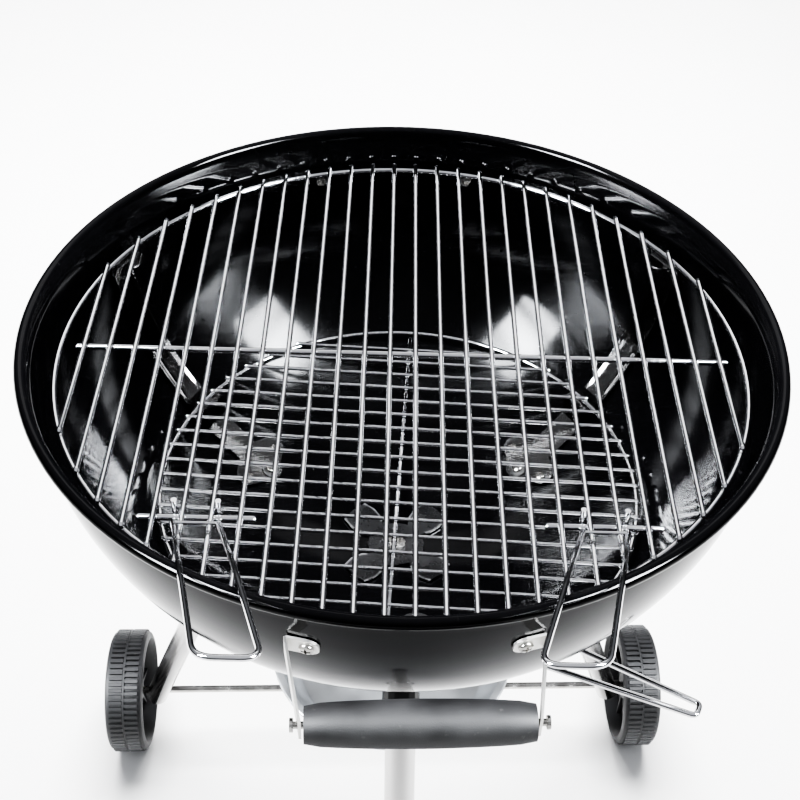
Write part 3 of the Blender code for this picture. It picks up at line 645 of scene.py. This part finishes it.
class GRILL_OT_bowl(bpy.types.Operator):
    """Enamelled bowl with its rolled rim and vent openings"""

    bl_idname = "grill.bowl"
    bl_label = "Bowl"

    def execute(self, context):
        start = math.asin(SPINDLE_HOLE_R / BOWL_R)
        sweep = [start + (math.pi / 2 - start) * k / BOWL_RINGS for k in range(BOWL_RINGS + 1)]
        inner_r, inner_depth = BOWL_R - WALL, BOWL_DEPTH - WALL
        inner = [(inner_r * math.sin(t), BOWL_TOP_Z - inner_depth * math.cos(t)) for t in sweep]
        outer = [(BOWL_R * math.sin(t), BOWL_TOP_Z - BOWL_DEPTH * math.cos(t)) for t in sweep[:-1]]
        bead = arc((RIM_R, RIM_Z), BEAD_R, 165, -125, 20)
        bowl = lathe("bowl_enamel", inner + bead + outer[::-1], BOWL_STEPS)
        cuts = bmesh.new()
        centre, along, across = VENT_HOLE
        base = BOWL_TOP_Z - BOWL_DEPTH
        for k in range(PETALS):
            turn = Matrix.Rotation(math.tau * (k + 0.5) / PETALS, 4, "Z")
            shape = Matrix.Translation((centre, 0, base)) @ Matrix.Diagonal((along, across, 1, 1))
            bmesh.ops.create_cone(
                cuts, cap_ends=True, segments=32, radius1=1, radius2=1, depth=0.03, matrix=turn @ shape
            )
        show(cut(bowl, cuts), enamel(), "frame", "bowl")
        return {"FINISHED"}


def strap_rows():
    """Rows of (inner point, wall-side point, half width), from the tab under the grate to the ledge."""
    near, far = -LINING - STRAP_T, -LINING
    tab_z = GRATE_Z - GRATE_RING_R - 0.0003
    ledge_z = COAL_Z - COAL_RING_R - 0.0003
    rows = []
    for k in range(1, 11):
        swing = math.pi / 2 * k / 10
        r = TAB_R + STRAP_HALF * (1 - math.cos(swing))
        rows.append(((r, tab_z - STRAP_T), (r, tab_z), STRAP_HALF * math.sin(swing)))
    top = bowl_radius(tab_z, near), bowl_radius(tab_z, far)
    rows.append(((top[0] - 0.0012, tab_z - STRAP_T), (top[1] - 0.0012, tab_z), STRAP_HALF))
    first = tab_z - STRAP_T - 0.002
    for k in range(1, 25):
        z = first + (ledge_z + 0.004 - first) * k / 24
        rows.append(((bowl_radius(z, near), z), (bowl_radius(z, far), z), STRAP_HALF))
    ledge = bowl_radius(ledge_z, near) - 0.001, bowl_radius(ledge_z, far) - 0.001
    rows.append(((ledge[0], ledge_z), (ledge[1], ledge_z - STRAP_T), STRAP_HALF))
    rows.append(((LEDGE_R, ledge_z), (LEDGE_R + STRAP_T, ledge_z - STRAP_T), STRAP_HALF))
    return rows


def make_strap(where, angle):
    """A pressed strap with raised edges, and the bolted plate at its foot."""
    columns = [-1.0, -0.86, -0.74, -0.35, 0.0, 0.35, 0.74, 0.86, 1.0]
    rows = strap_rows()
    front, back = [], []
    for i, (inner, outer, half) in enumerate(rows):
        lift = FLANGE if 10 < i < len(rows) - 2 else 0.0
        front.append([Vector((inner[0] - lift * (abs(t) > 0.8), half * t, inner[1])) for t in columns])
        back.append([Vector((outer[0], half * t, outer[1])) for t in columns])
    plate = [(LEDGE_R, STRAP_HALF)] + list(PLATE_OUTLINE)
    for (r0, half0), (r1, half1) in zip(plate, plate[1:]):
        for k in range(3):
            r, half = r0 + (r1 - r0) * k / 3, half0 + (half1 - half0) * k / 3
            back_r = r + (STRAP_T if r == LEDGE_R else 0.0)
            sides = [half * t for t in columns]
            front.append([Vector((r, s, bowl_z(math.hypot(r, s), -LINING - STRAP_T))) for s in sides])
            back.append([Vector((back_r, s, bowl_z(math.hypot(back_r, s), -LINING))) for s in sides])
    r, half = plate[-1]
    sides = [half * t for t in columns]
    front.append([Vector((r, s, bowl_z(math.hypot(r, s), -LINING - STRAP_T))) for s in sides])
    back.append([Vector((r, s, bowl_z(math.hypot(r, s), -LINING))) for s in sides])
    bm = bmesh.new()
    sheet_into(bm, front, back)
    strap = place(to_object("strap_" + where, bm), Matrix.Rotation(angle, 4, "Z"))
    # The straps inside the bowl take the darker steel, painted shade for their dark reflections.
    show(strap, mirror_steel_painted_shade(), "frame", "support_strap_" + where)


def sheet_into(bm, front, back):
    rows, cols = len(front), len(front[0])
    near = [[bm.verts.new(p) for p in row] for row in front]
    far = [[bm.verts.new(p) for p in row] for row in back]
    for i in range(rows - 1):
        for j in range(cols - 1):
            bm.faces.new((near[i][j], near[i][j + 1], near[i + 1][j + 1], near[i + 1][j]))
            bm.faces.new((far[i][j], far[i + 1][j], far[i + 1][j + 1], far[i][j + 1]))
    border = [(i, 0) for i in range(rows)] + [(rows - 1, j) for j in range(1, cols)]
    border += [(i, cols - 1) for i in range(rows - 2, -1, -1)] + [(0, j) for j in range(cols - 2, 0, -1)]
    for (i, j), (k, m) in zip(border, border[1:] + border[:1]):
        bm.faces.new((near[i][j], near[k][m], far[k][m], far[i][j]))


def cross_slot(radius, depth, top):
    """The cross-shaped recess of a screw head, as one closed form."""
    arm, half = radius * 0.62, radius * 0.15
    outline = []
    for k in range(4):
        turn = Matrix.Rotation(math.tau * k / 4, 3, "Z")
        outline += [turn @ Vector(p) for p in ((half, half, 0), (arm, half, 0), (arm, -half, 0))][::-1]
    low, high = top - depth, top + depth
    bm = bmesh.new()
    near = [bm.verts.new((p.x, p.y, low)) for p in outline]
    far = [bm.verts.new((p.x, p.y, high)) for p in outline]
    bm.faces.new(near)
    bm.faces.new(far)
    for k in range(len(outline)):
        m = (k + 1) % len(outline)
        bm.faces.new((near[k], near[m], far[m], far[k]))
    return bm


def screw(name, radius, height, shank, matrix):
    dome = arc((0, 0), 1.0, 0, 90, 8)
    profile = [(0.0, -shank), (BOLT_R, -shank), (BOLT_R, 0.0)]
    profile += [(radius * 0.96, 0.0), (radius, height * 0.12)]
    profile += [(radius * x, height * (0.3 + 0.7 * y)) for x, y in dome[:-1]] + [(0.0, height)]
    head = lathe(name, profile, 32)
    cut(head, cross_slot(radius, height * 0.55, height))
    return place(head, matrix)


class GRILL_OT_straps(bpy.types.Operator):
    """Inner straps that carry both grates"""

    bl_idname = "grill.straps"
    bl_label = "Straps"

    def execute(self, context):
        for where, angle in LEG_ANGLES.items():
            make_strap(where, angle)
        return {"FINISHED"}


class GRILL_OT_bolts(bpy.types.Operator):
    """Bolts and dark-rimmed washers of the straps and handles"""

    bl_idname = "grill.bolts"
    bl_label = "Bolts"

    def execute(self, context):
        seat = LINING + STRAP_T + SEAT_GAP
        for where, angle in LEG_ANGLES.items():
            for number, (out, side) in enumerate(BOLT_PLACES, start=1):
                radius = math.hypot(out, side)
                theta = angle + math.atan2(side, out)
                radial = Vector((math.cos(theta), math.sin(theta), 0))
                n = bowl_normal(radius)
                normal = radial * n.x + Vector((0, 0, n.y))
                point = radial * radius + Vector((0, 0, bowl_z(radius, 0)))
                turn = (-normal).to_track_quat("Z", "Y").to_matrix().to_4x4()
                lift = WASHER_LIFT if number == 1 else 0.0
                matrix = Matrix.Translation(point - normal * (seat + lift)) @ turn
                name = f"{where}_{number}"
                shank = seat + lift + BOLT_PAST_WALL
                head = screw("bolt_" + name, BOLT_HEAD_R, BOLT_HEAD_T, shank, matrix)
                show(head, zinc(), "frame", "leg_bolt_" + name)
                if number == 1:
                    hole_r, rim_r = BOLT_R + 0.0004, WASHER_R - WASHER_LIP
                    edge = [(hole_r, 0.0), (rim_r, 0.0), (WASHER_R, WASHER_LIP), (WASHER_R, 0.0009)]
                    edge += [(rim_r, WASHER_T), (hole_r, WASHER_T)]
                    seated = Matrix.Translation(point - normal * seat) @ turn
                    disc = place(lathe("washer_" + where, edge, 40), seated)
                    show(disc, washer_steel(), "frame", "leg_washer_" + where)
        self.handle_screws()
        return {"FINISHED"}

    def handle_screws(self):
        radius = bowl_radius(HANDLE_Z, 0)
        n = bowl_normal(radius)
        for where, side in (("front", -1), ("rear", 1)):
            for sign in (-1, 1):
                theta = side * math.pi / 2 + sign * HANDLE_ANGLE
                radial = Vector((math.cos(theta), math.sin(theta), 0))
                point = radial * radius + Vector((0, 0, HANDLE_Z))
                normal = radial * n.x + Vector((0, 0, n.y))
                turn = normal.to_track_quat("Z", "Y").to_matrix().to_4x4()
                hand = "right" if point.x > 0 else "left"
                matrix = Matrix.Translation(point + normal * HANDLE_SEAT) @ turn
                head = screw(f"screw_{where}_{hand}", *HANDLE_SCREW, matrix)
                show(head, zinc(), "frame", f"handle_screw_{where}_{hand}")


class GRILL_OT_grates(bpy.types.Operator):
    """Cooking and charcoal grates of welded wire"""

    bl_idname = "grill.grates"
    bl_label = "Grates"

    def execute(self, context):
        z = GRATE_RING_R + GRATE_WIRE_R - WELD
        crossbar = bar("x", 0, CROSSBAR_HALF, 0, GRATE_RING_R, ())
        strands = [(ring(GRATE_R, 0), GRATE_RING_R, True), crossbar]
        for k in range(GRATE_BARS):
            x = (k - (GRATE_BARS - 1) / 2) * GRATE_PITCH
            edge = math.sqrt(GRATE_R**2 - x * x)
            strands.append(bar("y", x, edge + BAR_PAST_RING, z, GRATE_WIRE_R, (edge,)))
        for sign in (-1, 1):
            points, radius, closed = bar("x", BAIL_Y, BAIL_ROD_HALF, 0, GRATE_RING_R, ())
            strands.append(([(p[0] + sign * BAIL_X, *p[1:]) for p in points], radius, closed))
        grate = wire("cooking_wires", strands)
        turn = Matrix.Rotation(GRATE_TURN, 4, "Z")
        place(grate, Matrix.Translation((0, GRATE_SHIFT_Y, GRATE_Z)) @ turn)
        show(grate, plated_wire(), "cooking_grate", "cooking_grate")
        z = COAL_RING_R + COAL_WIRE_R - WELD
        spine = bar("y", 0, COAL_R - 0.008, 0, COAL_RING_R, ())
        strands = [(ring(COAL_R, 0, 112), COAL_RING_R, True), spine]
        for k in range(COAL_BARS):
            y = (k - (COAL_BARS - 1) / 2) * COAL_PITCH
            edge = math.sqrt(COAL_R**2 - y * y)
            strands.append(bar("x", y, edge + BAR_PAST_RING, z, COAL_WIRE_R, (edge,)))
        coal = wire("charcoal_wires", strands)
        turn = Matrix.Rotation(COAL_TURN, 4, "Z")
        place(coal, Matrix.Translation((0, COAL_SHIFT_Y, COAL_Z)) @ turn)
        show(coal, plated_wire(), "charcoal_grate", "charcoal_grate")
        return {"FINISHED"}


def bail_origin(sign):
    origin = Matrix.Rotation(GRATE_TURN, 3, "Z") @ Vector((sign * BAIL_X, BAIL_Y, 0))
    return origin + Vector((0, GRATE_SHIFT_Y, GRATE_Z))


def bail_plan(sign, side, out):
    half = BAIL_HALF + (BAIL_TIP_HALF - BAIL_HALF) * max(out, 0.0) / BAIL_REACH
    return side * half - sign * BAIL_LEAN * max(out - 0.006, 0.0)


def bail_rim_out(sign):
    origin, out, reach = bail_origin(sign), 0.0, 0.0
    while reach < RIM_R - BEAD_R / 2:
        out += 0.0005
        arm = Matrix.Rotation(GRATE_TURN, 3, "Z") @ Vector((bail_plan(sign, sign, out), -out, 0))
        reach = (origin + arm).to_2d().length
    return out


class GRILL_OT_bails(bpy.types.Operator):
    """Folding wire handles that rest on the rim"""

    bl_idname = "grill.bails"
    bl_label = "Wire handles"

    def execute(self, context):
        hook = GRATE_RING_R + GRATE_WIRE_R + 0.0009
        clear = GRATE_RING_R + 3 * GRATE_WIRE_R - WELD + 0.0012
        rise = RIM_Z + BEAD_R + GRATE_WIRE_R + 0.0006 - GRATE_Z
        for where, sign in (("left", -1), ("right", 1)):
            bend = bail_rim_out(sign) + BAIL_BEND
            slope = (rise - clear) / (bend - BAIL_BEND - BAIL_CROSS)
            bend_z = clear + slope * (bend - BAIL_CROSS)

            def arm(out, side):
                if out <= bend:
                    z = clear + slope * (out - BAIL_CROSS)
                else:
                    z = bend_z + (BAIL_TIP_RISE - bend_z) * (out - bend) / (BAIL_REACH - bend)
                return (bail_plan(sign, side, out), -out, z)

            def tail(side):
                x = side * BAIL_HALF
                turns = [math.radians(a) for a in range(0, -181, -15)]
                return [(x, hook, 0.0115)] + [(x, hook * math.cos(a), hook * math.sin(a)) for a in turns]

            corners = [arm(out, -1) for out in (BAIL_CROSS, bend, BAIL_REACH)]
            corners += [arm(out, 1) for out in (BAIL_REACH, bend, BAIL_CROSS)]
            path = tail(-1) + rounded(corners, BAIL_CORNER_R) + tail(1)[::-1]
            ends = [arm(BAIL_CROSS + 0.001, -1), arm(BAIL_CROSS + 0.001, 1)]
            bail = wire("bail_" + where, [(path, GRATE_WIRE_R, False), (ends, BAIL_PIN_R, False)])
            place(bail, Matrix.Translation(bail_origin(sign)) @ Matrix.Rotation(GRATE_TURN, 4, "Z"))
            show(bail, plated_wire(), "bail_" + where, "grate_handle_" + where)
        return {"FINISHED"}


class GRILL_OT_vent(bpy.types.Operator):
    """Ash sweeper, its nut and the two-rod lever"""

    bl_idname = "grill.vent"
    bl_label = "Vent"

    def execute(self, context):
        tip_half = LEVER_HALF - LEVER_REACH * math.tan(LEVER_TAPER)
        side = [(0.0, LEVER_HALF, LEVER_Z - LEVER_DROP), (0.0, LEVER_HALF, LEVER_Z)]
        side += [(LEVER_REACH, tip_half, LEVER_Z)]
        path = rounded(side + [(x, -y, z) for x, y, z in reversed(side)], LEVER_BEND_R)
        rods = wire("lever_rods", [(path, LEVER_WIRE_R, False)], 16)
        lever = place(rods, Matrix.Rotation(LEVER_ANGLE, 4, "Z"))
        show(lever, plated_wire(), "vent", "vent_lever")
        finish_nodes(("ash_blades",), blade_steel())
        finish_nodes(("hub_nut", "vent_spindle"), zinc())
        finish_nodes(("lever_yoke",), satin_steel())
        return {"FINISHED"}


def finish_nodes(names, mat):
    """Gives frame nodes whose shape is kept their detailed finish."""
    for name in names:
        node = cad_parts[name]
        node.data.materials.clear()
        node.data.materials.append(mat)


class GRILL_OT_legs(bpy.types.Operator):
    """Tube legs, their sockets and the front foot"""

    bl_idname = "grill.legs"
    bl_label = "Legs"

    def execute(self, context):
        for where, angle in LEG_ANGLES.items():
            top, down = leg_line(angle)
            start = top + down * LEG_START
            low = 0.010 if where == "front" else WHEEL_R - 0.014
            length = (start.z - low) / -down.z
            inner, bevel = LEG_R - LEG_WALL, LEG_R - LEG_LIP
            profile = [(inner, 0), (bevel, 0), (LEG_R, LEG_LIP), (LEG_R, length - LEG_LIP)]
            profile += [(bevel, length), (inner, length)]
            turn = down.to_track_quat("Z", "Y").to_matrix().to_4x4()
            tube = place(lathe("tube_" + where, profile, 48), Matrix.Translation(start) @ turn)
            if where != "front":
                bm = bmesh.new()
                ends = [(x, axle_y(), WHEEL_R) for x in (-AXLE_CUT_HALF, AXLE_CUT_HALF)]
                rod_into(bm, *ends, AXLE_R)
                cut(tube, bm)
            show(tube, leg_steel(), "frame", "leg_" + where)
        finish_nodes([f"leg_socket_{where}" for where in LEG_ANGLES], enamel())
        finish_nodes(("foot_cap",), moulded())
        return {"FINISHED"}


def tread_lugs(bm, count):
    """Two rows of tapered lugs, staggered either side of the mould seam."""
    low, high = WHEEL_R - 0.0032, WHEEL_R - 0.0001
    for row, shift in ((-1, 0.0), (1, 0.5)):
        for k in range(count):
            angle = math.tau * (k + shift) / count
            turn = Matrix.Rotation(angle, 3, "Z")
            pitch = math.tau * WHEEL_R / count
            corners = []
            for r, scale in ((low, 1.0), (high, LUG_TAPER)):
                half = pitch * 0.36 * scale
                inner, outer = 0.0014, WHEEL_WIDTH / 2 - 0.006 + 0.004 * (1 - scale)
                box = [(r, -half, row * inner), (r, half, row * inner)]
                box += [(r, half, row * outer), (r, -half, row * outer)]
                corners.append([bm.verts.new(turn @ Vector(p)) for p in box])
            bm.faces.new(corners[0])
            bm.faces.new(corners[1])
            for j in range(4):
                m = (j + 1) % 4
                bm.faces.new((corners[0][j], corners[0][m], corners[1][m], corners[1][j]))


def spokes(bm, count=SPOKES):
    """Raised ribs from the hub to the rim on both sides of the web."""
    for face in (-1, 1):
        for k in range(count):
            turn = Matrix.Rotation(math.tau * k / count, 3, "Z")
            deep = (0.0090 if face < 0 else 0.0130) * face
            rows = []
            for r, half in ((HUB_R - 0.001, 0.0026), (WHEEL_R - 0.0125, 0.0019)):
                box = [(r, -half, 0.0), (r, half, 0.0), (r, half * 0.7, deep), (r, -half * 0.7, deep)]
                rows.append([bm.verts.new(turn @ Vector(p)) for p in box])
            bm.faces.new(rows[0])
            bm.faces.new(rows[1])
            for j in range(4):
                m = (j + 1) % 4
                bm.faces.new((rows[0][j], rows[0][m], rows[1][m], rows[1][j]))


class GRILL_OT_wheels(bpy.types.Operator):
    """Moulded wheels with ribbed treads, and the axle between them"""

    bl_idname = "grill.wheels"
    bl_label = "Wheels"

    def execute(self, context):
        half, web, rim_in, tread = WHEEL_WIDTH / 2, 0.004, WHEEL_R - 0.013, WHEEL_R - 0.0026

        def section(recess):
            hub = [(AXLE_R, recess), (HUB_R - 0.001, recess)]
            hub += [(HUB_R, recess + 0.001), (HUB_R + 0.002, half - web)]
            rim = [(rim_in - 0.002, half - web), (rim_in, 0.006), (rim_in + 0.003, 0.0)]
            return hub + rim + [(tread - 0.004, 0.0), (tread - 0.001, 0.0015), (tread, 0.004)]

        seam = [(tread, -0.0016), (tread + 0.0019, -0.0011), (tread + 0.0019, 0.0011), (tread, 0.0016)]
        profile = [(r, x - half) for r, x in section(HUB_RECESS)] + seam
        profile += [(r, half - x) for r, x in reversed(section(0.002))]
        for where, sign in (("left", -1), ("right", 1)):
            bm = bmesh.new()
            lathe_into(bm, profile, 96)
            tread_lugs(bm, context.scene.grill_finish.lugs)
            spokes(bm)
            centre = Matrix.Translation((sign * (WHEEL_INNER_X + half), axle_y(), WHEEL_R))
            turn = Matrix.Rotation(sign * math.pi / 2, 4, "Y")
            wheel = place(to_object("tread_" + where, bm), centre @ turn)
            show(wheel, moulded(), "wheel_" + where, "wheel_" + where)
        finish_nodes(("axle", "axle_cap_left", "axle_cap_right"), zinc())
        return {"FINISHED"}


class GRILL_OT_handles(bpy.types.Operator):
    """Front and rear grips on their bent straps"""

    bl_idname = "grill.handles"
    bl_label = "Handles"

    def execute(self, context):
        radius = bowl_radius(HANDLE_Z, 0)
        for where, side in (("front", -1), ("rear", 1)):
            steps = [k / 14 for k in range(15)]
            swell = [GRIP_R * (0.80 + 0.20 * math.sin(math.pi * t) ** 0.6) for t in steps]
            body = [(r, GRIP_HALF * (2 * t - 1)) for r, t in zip(swell, steps)]
            body[0] = (GRIP_R * 0.76, -GRIP_HALF)
            body[-1] = (GRIP_R * 0.76, GRIP_HALF)
            bore = BOLT_R + 0.0003
            profile = [(bore, -GRIP_HALF)] + body + [(bore, GRIP_HALF)]
            centre = Matrix.Translation((0, side * (radius + GRIP_OUT), HANDLE_Z))
            turn = Matrix.Rotation(math.pi / 2, 4, "Y")
            grip = place(lathe("hand_grip_" + where, profile, 48), centre @ turn)
            show(grip, moulded(), "frame", "grip_" + where)
            finish_nodes([f"handle_strap_{where}_{hand}" for hand in ("left", "right")], satin_steel())
            finish_nodes([f"handle_nut_{where}_{hand}" for hand in ("left", "right")], zinc())
            finish_nodes(("grip_rod_" + where,), zinc())
        return {"FINISHED"}


class GRILL_OT_dish(bpy.types.Operator):
    """Pressed ash dish and the wire ring that holds it"""

    bl_idname = "grill.dish"
    bl_label = "Ash dish"

    def execute(self, context):
        z, base = DISH_Z, DISH_Z - DISH_DEPTH
        floor = base + DISH_T
        profile = [(0.0, base), (DISH_BASE_R, base), (DISH_BASE_R + 0.0025, base + 0.0008)]
        profile += [(DISH_BASE_R + 0.004, base + 0.002), (DISH_R - 0.007, z - 0.004)]
        profile += arc((DISH_R - DISH_T, z - DISH_T), DISH_T, -90, 90, 8)
        profile += [(DISH_R - 0.007, z), (DISH_R - 0.009, z - 0.003)]
        profile += [(DISH_BASE_R + 0.001, floor + 0.001), (DISH_BASE_R - 0.002, floor)]
        profile += [(0.030, floor), (0.029, floor + 0.0006), (0.0, floor + 0.0006)]
        show(lathe("pressed_dish", profile, 96), aluminium(), "ash_dish", "ash_dish")
        flare = (HOLDER_RING_R - DISH_BASE_R - 0.004) / (DISH_R - 0.011 - DISH_BASE_R)
        ring_z = base + 0.002 + flare * (DISH_DEPTH - 0.006) - 0.0048
        strands = [(ring(HOLDER_RING_R, ring_z, 96), HOLDER_WIRE_R, True)]
        for angle in LEG_ANGLES.values():
            top, down = leg_line(angle)
            at = top + down * ((top.z - ring_z - 0.010) / -down.z)
            turn = down.to_track_quat("Z", "Y").to_matrix()
            eye = [at + turn @ Vector(p) for p in ring(LEG_R + 0.0012 + HOLDER_WIRE_R, 0, 32)]
            radial = Vector((math.cos(angle), math.sin(angle), 0))
            start = radial * (HOLDER_RING_R - 0.001) + Vector((0, 0, ring_z - HOLDER_WIRE_R * 2 + WELD))
            near = min(eye, key=lambda p: p.to_2d().length)
            end = near + radial * 0.001 + Vector((0, 0, -0.0006))
            strands += [(eye, HOLDER_WIRE_R, True), ([start, end], HOLDER_WIRE_R, False)]
        show(wire("dish_ring", strands), plated_wire(), "frame", "dish_holder")
        return {"FINISHED"}


def area_light(name, place_at, target, size, power, colour=(1, 1, 1), mirrored=True, spread=180):
    """A soft panel: seen only in reflections when mirrored, otherwise only lighting what it reaches."""
    light = bpy.data.lights.new(name, "AREA")
    light.shape = "RECTANGLE"
    light.size, light.size_y = size
    light.energy = power
    light.spread = math.radians(spread)
    light.color = colour
    obj = bpy.data.objects.new(name, light)
    obj.visible_glossy = mirrored
    obj.visible_diffuse = not mirrored
    obj.location = place_at
    obj.rotation_euler = (Vector(target) - Vector(place_at)).to_track_quat("-Z", "Y").to_euler()
    bpy.context.scene.collection.objects.link(obj)


class GRILL_OT_stage(bpy.types.Operator):
    """Pale floor, world, soft panels and the camera"""

    bl_idname = "grill.stage"
    bl_label = "Stage"

    def execute(self, context):
        stage = context.scene.grill_stage
        bm = bmesh.new()
        bmesh.ops.create_grid(bm, x_segments=1, y_segments=1, size=8.0)
        floor = to_object("pale_floor", bm)
        pale = tuple(stage.floor)
        coat = finish("pale_floor", (shaded(pale, 0.985), pale), (0.6, 0.7), 0.0, scale=3.0)
        floor.data.materials.append(coat)
        world = bpy.data.worlds.new("studio")
        world.use_nodes = True
        shade = Shading(world.node_tree)
        upward = shade.add("ShaderNodeTexCoord").outputs["Generated"]
        height = shade.add("ShaderNodeSeparateXYZ", {0: upward})
        glow = shade.remap(height.outputs["Z"], SKY_GLOW[0], SKY_GLOW[1], SKY_HEIGHTS[0], SKY_HEIGHTS[1])
        background = world.node_tree.nodes["Background"]
        background.inputs["Color"].default_value = (*SKY_TINT, 1.0)
        seen = shade.add("ShaderNodeLightPath").outputs["Is Camera Ray"]
        strength = shade.remap(seen, glow, SKY_SEEN, 0.0, 1.0)
        world.node_tree.links.new(strength, background.inputs["Strength"])
        context.scene.world = world
        area_light("overhead", (0.0, 1.3, 2.6), (0, 0.7, 0), (2.2, 1.8), 330, mirrored=False)
        for name, side in (("left_softbox", -1), ("right_softbox", 1)):
            place_at = (side * 1.75, -0.95, 2.4)
            area_light(name, place_at, (0, 0, 0.6), (0.8, 1.3), 62, (0.93, 0.96, 1.0), spread=55)
        area_light("rear_panel", (0, 2.4, 2.9), (0, 0, 0.7), (3.2, 0.8), 12)
        context.scene.view_settings.look = "AgX - High Contrast"
        self.add_camera(context, stage)
        return {"FINISHED"}

    def add_camera(self, context, stage):
        turn = Matrix.Rotation(-stage.yaw, 3, "Z")
        ahead = turn @ Vector((0, math.cos(stage.elevation), -math.sin(stage.elevation)))
        right = turn @ Vector((1, 0, 0))
        up = turn @ Vector((0, math.sin(stage.elevation), math.cos(stage.elevation)))
        where = Vector((0, 0, RIM_Z)) - ahead * stage.distance
        where = where + right * CAMERA_ASIDE + up * CAMERA_BELOW
        side = right * math.cos(stage.roll) + up * math.sin(stage.roll)
        top = up * math.cos(stage.roll) - right * math.sin(stage.roll)
        data = bpy.data.cameras.new("camera")
        data.lens = stage.lens
        data.sensor_width = SENSOR_WIDTH
        data.shift_y = CAMERA_SHIFT_Y
        camera = bpy.data.objects.new("camera", data)
        matrix = Matrix((side, top, -ahead)).transposed().to_4x4()
        matrix.translation = where
        camera.matrix_world = matrix
        context.scene.collection.objects.link(camera)
        context.scene.camera = camera


OPERATORS = (
    GRILL_OT_stage,
    GRILL_OT_bowl,
    GRILL_OT_straps,
    GRILL_OT_bolts,
    GRILL_OT_grates,
    GRILL_OT_bails,
    GRILL_OT_vent,
    GRILL_OT_legs,
    GRILL_OT_wheels,
    GRILL_OT_handles,
    GRILL_OT_dish,
)


class GRILL_PT_panel(bpy.types.Panel):
    """Lists the grill's pieces and settings"""

    bl_idname = "GRILL_PT_panel"
    bl_label = "Kettle Grill"
    bl_space_type = "VIEW_3D"
    bl_region_type = "UI"
    bl_category = "Grill"

    def draw(self, context):
        for settings in (context.scene.grill_finish, context.scene.grill_stage):
            for name in settings.__annotations__:
                self.layout.prop(settings, name)
        for operator in OPERATORS:
            self.layout.operator(operator.bl_idname)


CLASSES = (GrillFinish, GrillStage, *OPERATORS, GRILL_PT_panel)


def register():
    for cls in CLASSES:
        bpy.utils.register_class(cls)
    bpy.types.Scene.grill_finish = bpy.props.PointerProperty(type=GrillFinish)
    bpy.types.Scene.grill_stage = bpy.props.PointerProperty(type=GrillStage)


def unregister():
    del bpy.types.Scene.grill_stage
    del bpy.types.Scene.grill_finish
    for cls in reversed(CLASSES):
        bpy.utils.unregister_class(cls)


def main():
    register()
    for operator in OPERATORS:
        getattr(bpy.ops.grill, operator.bl_idname.split(".")[1])()
    bpy.context.view_layer.update()


if __name__ == "__main__":
    main()
